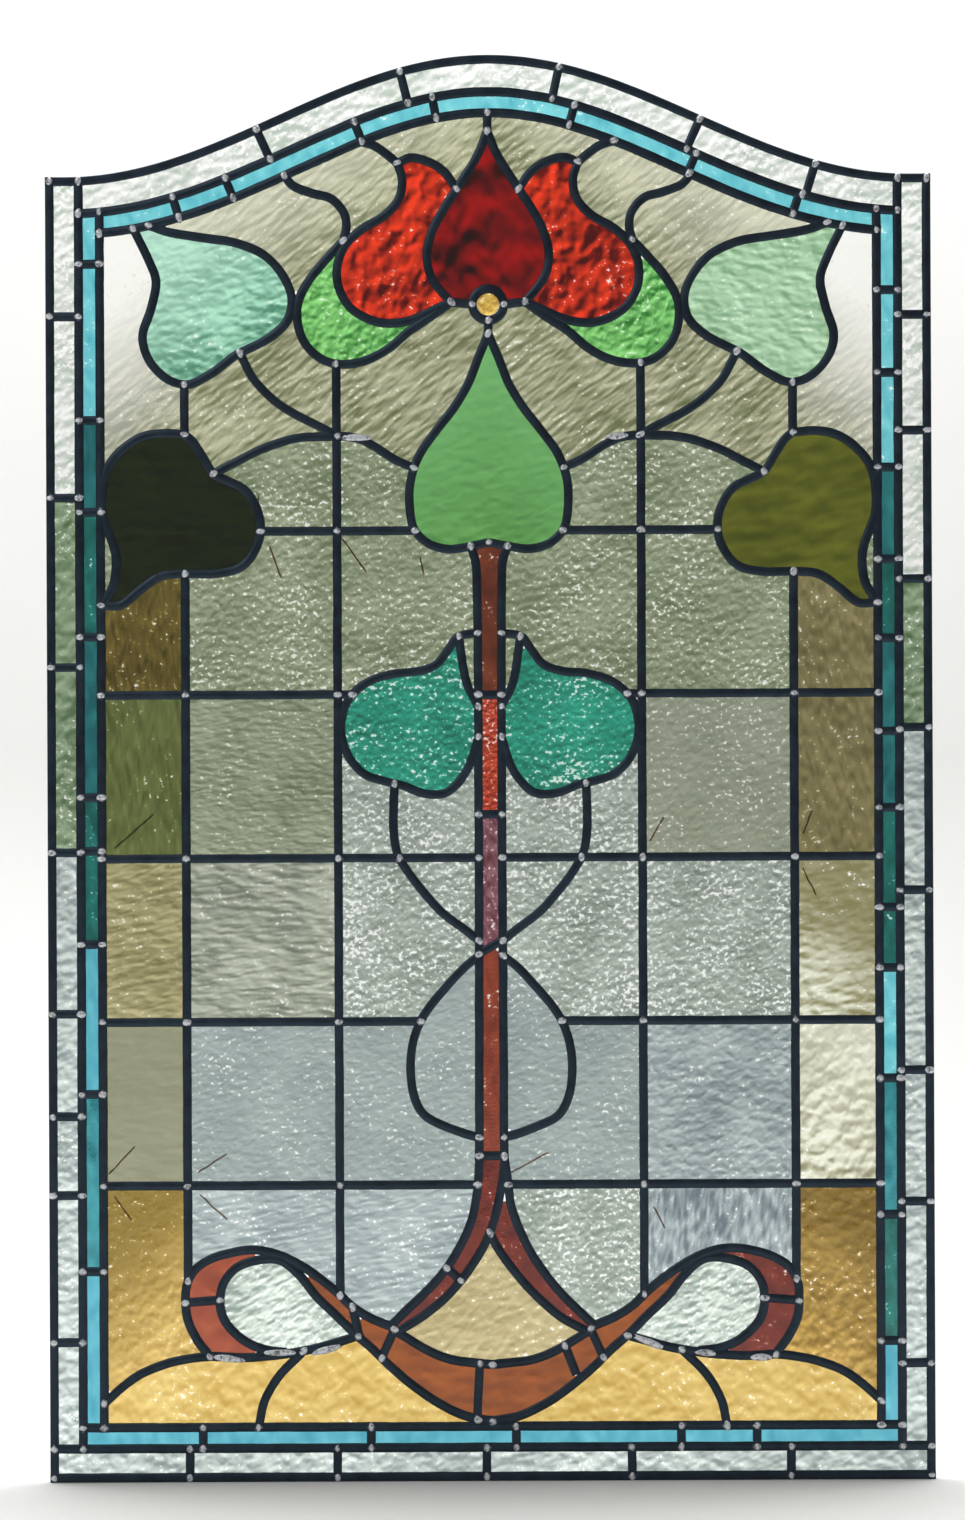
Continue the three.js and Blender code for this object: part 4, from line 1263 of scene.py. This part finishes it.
class WINDOW_OT_stem(bpy.types.Operator):
    """Glazes the stem, its branch, the ribbon and the bow"""

    bl_idname = "window.stem"
    bl_label = "Stem and ribbon"

    def execute(self, context):
        glaze("stem", "ribbon", "teardrop")
        return {"FINISHED"}


class WINDOW_OT_ground(bpy.types.Operator):
    """Glazes the amber ground"""

    bl_idname = "window.ground"
    bl_label = "Amber ground"

    def execute(self, context):
        glaze("amber")
        return {"FINISHED"}


class WINDOW_OT_background(bpy.types.Operator):
    """Glazes the panes behind the flower and the stem, and the narrow slips"""

    bl_idname = "window.background"
    bl_label = "Background panes"

    def execute(self, context):
        glaze("side_top", "top_", "pane_", "outer_column", "inner_", "side_column")
        slips = node_panes.get(None, [])
        if not slips:
            raise RuntimeError("the narrow slips beside the stem were not found")
        new_piece("slip_glass", glass_mesh("slip", slips), OTHER_SLOT)
        return {"FINISHED"}


class WINDOW_OT_borders(bpy.types.Operator):
    """Glazes the blue and the clear border"""

    bl_idname = "window.borders"
    bl_label = "Borders"

    def execute(self, context):
        glaze("blue_border", "clear_border")
        return {"FINISHED"}


class WINDOW_OT_jewel(bpy.types.Operator):
    """Turns the gold jewel, a round cabochon in its ring of lead"""

    bl_idname = "window.jewel"
    bl_label = "Jewel"

    def execute(self, context):
        low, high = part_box("jewel")
        centre = (low + high) / 2
        radius = (high.x - low.x) / 2
        made = bmesh.new()
        bmesh.ops.create_uvsphere(made, u_segments=48, v_segments=24, radius=1)
        for vert in made.verts:
            x, y, z = vert.co
            front = y < 0
            flat = math.sqrt(x * x + z * z)
            out = math.copysign(abs(y) ** (0.8 if front else 0.35), y)
            dimple = 0.05 * noise.noise((x * 3, z * 3, 2)) * (1 - flat) if front else 0
            reach = centre.y - low.y if front else high.y - centre.y
            height = reach * (out * 0.97 + dimple * 0.5)
            vert.co = centre + Vector((x * radius, height, z * radius))
        face_outwards(made)
        mesh = finished(made, "jewel_glass")
        mesh.materials.append(glass_material("gold_jewel"))
        sharpen(mesh, 60)
        new_piece("jewel_glass", mesh, "gold_glass", "jewel")
        return {"FINISHED"}


class WINDOW_OT_stage(bpy.types.Operator):
    """Sets up the plain studio: a pale floor that curves up behind, soft lamps and the camera"""

    bl_idname = "window.stage"
    bl_label = "Studio"

    def execute(self, context):
        scene = context.scene
        studio = scene.window_studio
        made = bmesh.new()
        front, wall, curve, top, half = -2.5, 0.9, 0.5, 3.2, 3.0
        outline = [(front, 0), (wall - curve, 0)]
        outline += [(wall - curve + curve * math.sin(a), curve - curve * math.cos(a))
                    for a in (math.pi / 2 * step / 16 for step in range(1, 17))]
        outline.append((wall, top))
        row = [made.verts.new((-half, y, z)) for y, z in outline]
        edges = [made.edges.new(pair) for pair in zip(row, row[1:])]
        grown = bmesh.ops.extrude_edge_only(made, edges=edges)["geom"]
        bmesh.ops.translate(made, verts=[g for g in grown if isinstance(g, bmesh.types.BMVert)],
                            vec=(2 * half, 0, 0))
        made.normal_update()
        lit_side = sum((face.normal for face in made.faces), Vector())
        if lit_side.z < 0:
            bmesh.ops.reverse_faces(made, faces=made.faces[:])
        mesh = finished(made, "studio_paper")
        mesh.polygons.foreach_set("use_smooth", [True] * len(mesh.polygons))
        material, tree, where = new_material("matt_paper")
        fibre = add(tree, "ShaderNodeTexNoise", {"Scale": 3, "Detail": 2}, Vector=where)
        paper = tuple(studio.paper)
        stops = [(0.3, tuple(0.97 * c for c in paper)), (0.7, paper)]
        colour = add(tree, "ShaderNodeValToRGB", {"stops": stops}, Fac=fibre.outputs["Fac"]).outputs["Color"]
        matt = add(tree, "ShaderNodeBsdfPrincipled", {"Roughness": 0.9}, Base_Color=colour)
        behind = add(tree, "ShaderNodeNewGeometry").outputs["Backfacing"]
        open_side = add(tree, "ShaderNodeBsdfTransparent")
        finish_material(tree, add(tree, "ShaderNodeMixShader", i0=behind, i1=matt.outputs[0],
                                  i2=open_side.outputs[0]))
        mesh.materials.append(material)
        paper_object = bpy.data.objects.new("studio_paper", mesh)
        scene.collection.objects.link(paper_object)

        world = bpy.data.worlds.new("studio_room")
        scene.world = world
        world.use_nodes = True
        world.node_tree.nodes["Background"].inputs["Color"].default_value = (1, 1, 1, 1)
        world.node_tree.nodes["Background"].inputs["Strength"].default_value = studio.room

        lamps = [
            ("backdrop_lamp", (0, 0.25, 2.6), (0, 0.75, 0.4), (2.4, 0.5), studio.back_power),
            ("key_lamp", (-1.3, -1.8, 2.2), (0, 0, 0.5), (1.0, 1.0), studio.key_power),
        ]
        for name, at, towards, size, power in lamps:
            lamp = bpy.data.lights.new(name, "AREA")
            lamp.shape = "RECTANGLE"
            lamp.size, lamp.size_y = size
            lamp.energy = power
            lamp_object = bpy.data.objects.new(name, lamp)
            lamp_object.location = at
            lamp_object.rotation_euler = (Vector(towards) - Vector(at)).to_track_quat("-Z", "Y").to_euler()
            scene.collection.objects.link(lamp_object)

        camera = bpy.data.cameras.new("camera")
        camera.sensor_width = 36
        camera.lens = camera.sensor_width * CAMERA_DISTANCE / VIEW_HEIGHT
        camera_object = bpy.data.objects.new("camera", camera)
        camera_object.location = (VIEW_CENTRE[0], -CAMERA_DISTANCE, VIEW_CENTRE[1])
        camera_object.rotation_euler = (math.pi / 2, math.radians(CAMERA_ROLL), 0)
        scene.collection.objects.link(camera_object)
        scene.camera = camera_object
        scene.view_settings.view_transform = "Standard"
        return {"FINISHED"}


class WINDOW_PT_build(bpy.types.Panel):
    """Buttons that build the window piece by piece"""

    bl_idname = "WINDOW_PT_build"
    bl_label = "Stained glass window"
    bl_space_type = "VIEW_3D"
    bl_region_type = "UI"
    bl_category = "Window"

    def draw(self, context):
        for operator in OPERATORS:
            self.layout.operator(operator.bl_idname)
        for name in ("came_width", "solder_radius", "solder_reach", "lead", "solder", "copper"):
            self.layout.prop(context.scene.window_lead, name)


OPERATORS = [
    WINDOW_OT_stage, WINDOW_OT_lead, WINDOW_OT_solder, WINDOW_OT_ties, WINDOW_OT_flower, WINDOW_OT_stem,
    WINDOW_OT_ground, WINDOW_OT_background, WINDOW_OT_borders, WINDOW_OT_jewel,
]
GROUPS = {"window_lead": WindowLead, "window_glass": WindowGlass, "window_studio": WindowStudio}


def register():
    for group in GROUPS.values():
        bpy.utils.register_class(group)
    for name, group in GROUPS.items():
        setattr(bpy.types.Scene, name, PointerProperty(type=group))
    for operator in OPERATORS:
        bpy.utils.register_class(operator)
    bpy.utils.register_class(WINDOW_PT_build)


def unregister():
    bpy.utils.unregister_class(WINDOW_PT_build)
    for operator in reversed(OPERATORS):
        bpy.utils.unregister_class(operator)
    for name, group in GROUPS.items():
        delattr(bpy.types.Scene, name)
        bpy.utils.unregister_class(group)


def main():
    register()
    bpy.ops.window.stage()
    bpy.ops.window.lead()
    bpy.ops.window.solder()
    bpy.ops.window.ties()
    bpy.ops.window.flower()
    bpy.ops.window.stem()
    bpy.ops.window.ground()
    bpy.ops.window.background()
    bpy.ops.window.borders()
    bpy.ops.window.jewel()


if __name__ == "__main__":
    main()
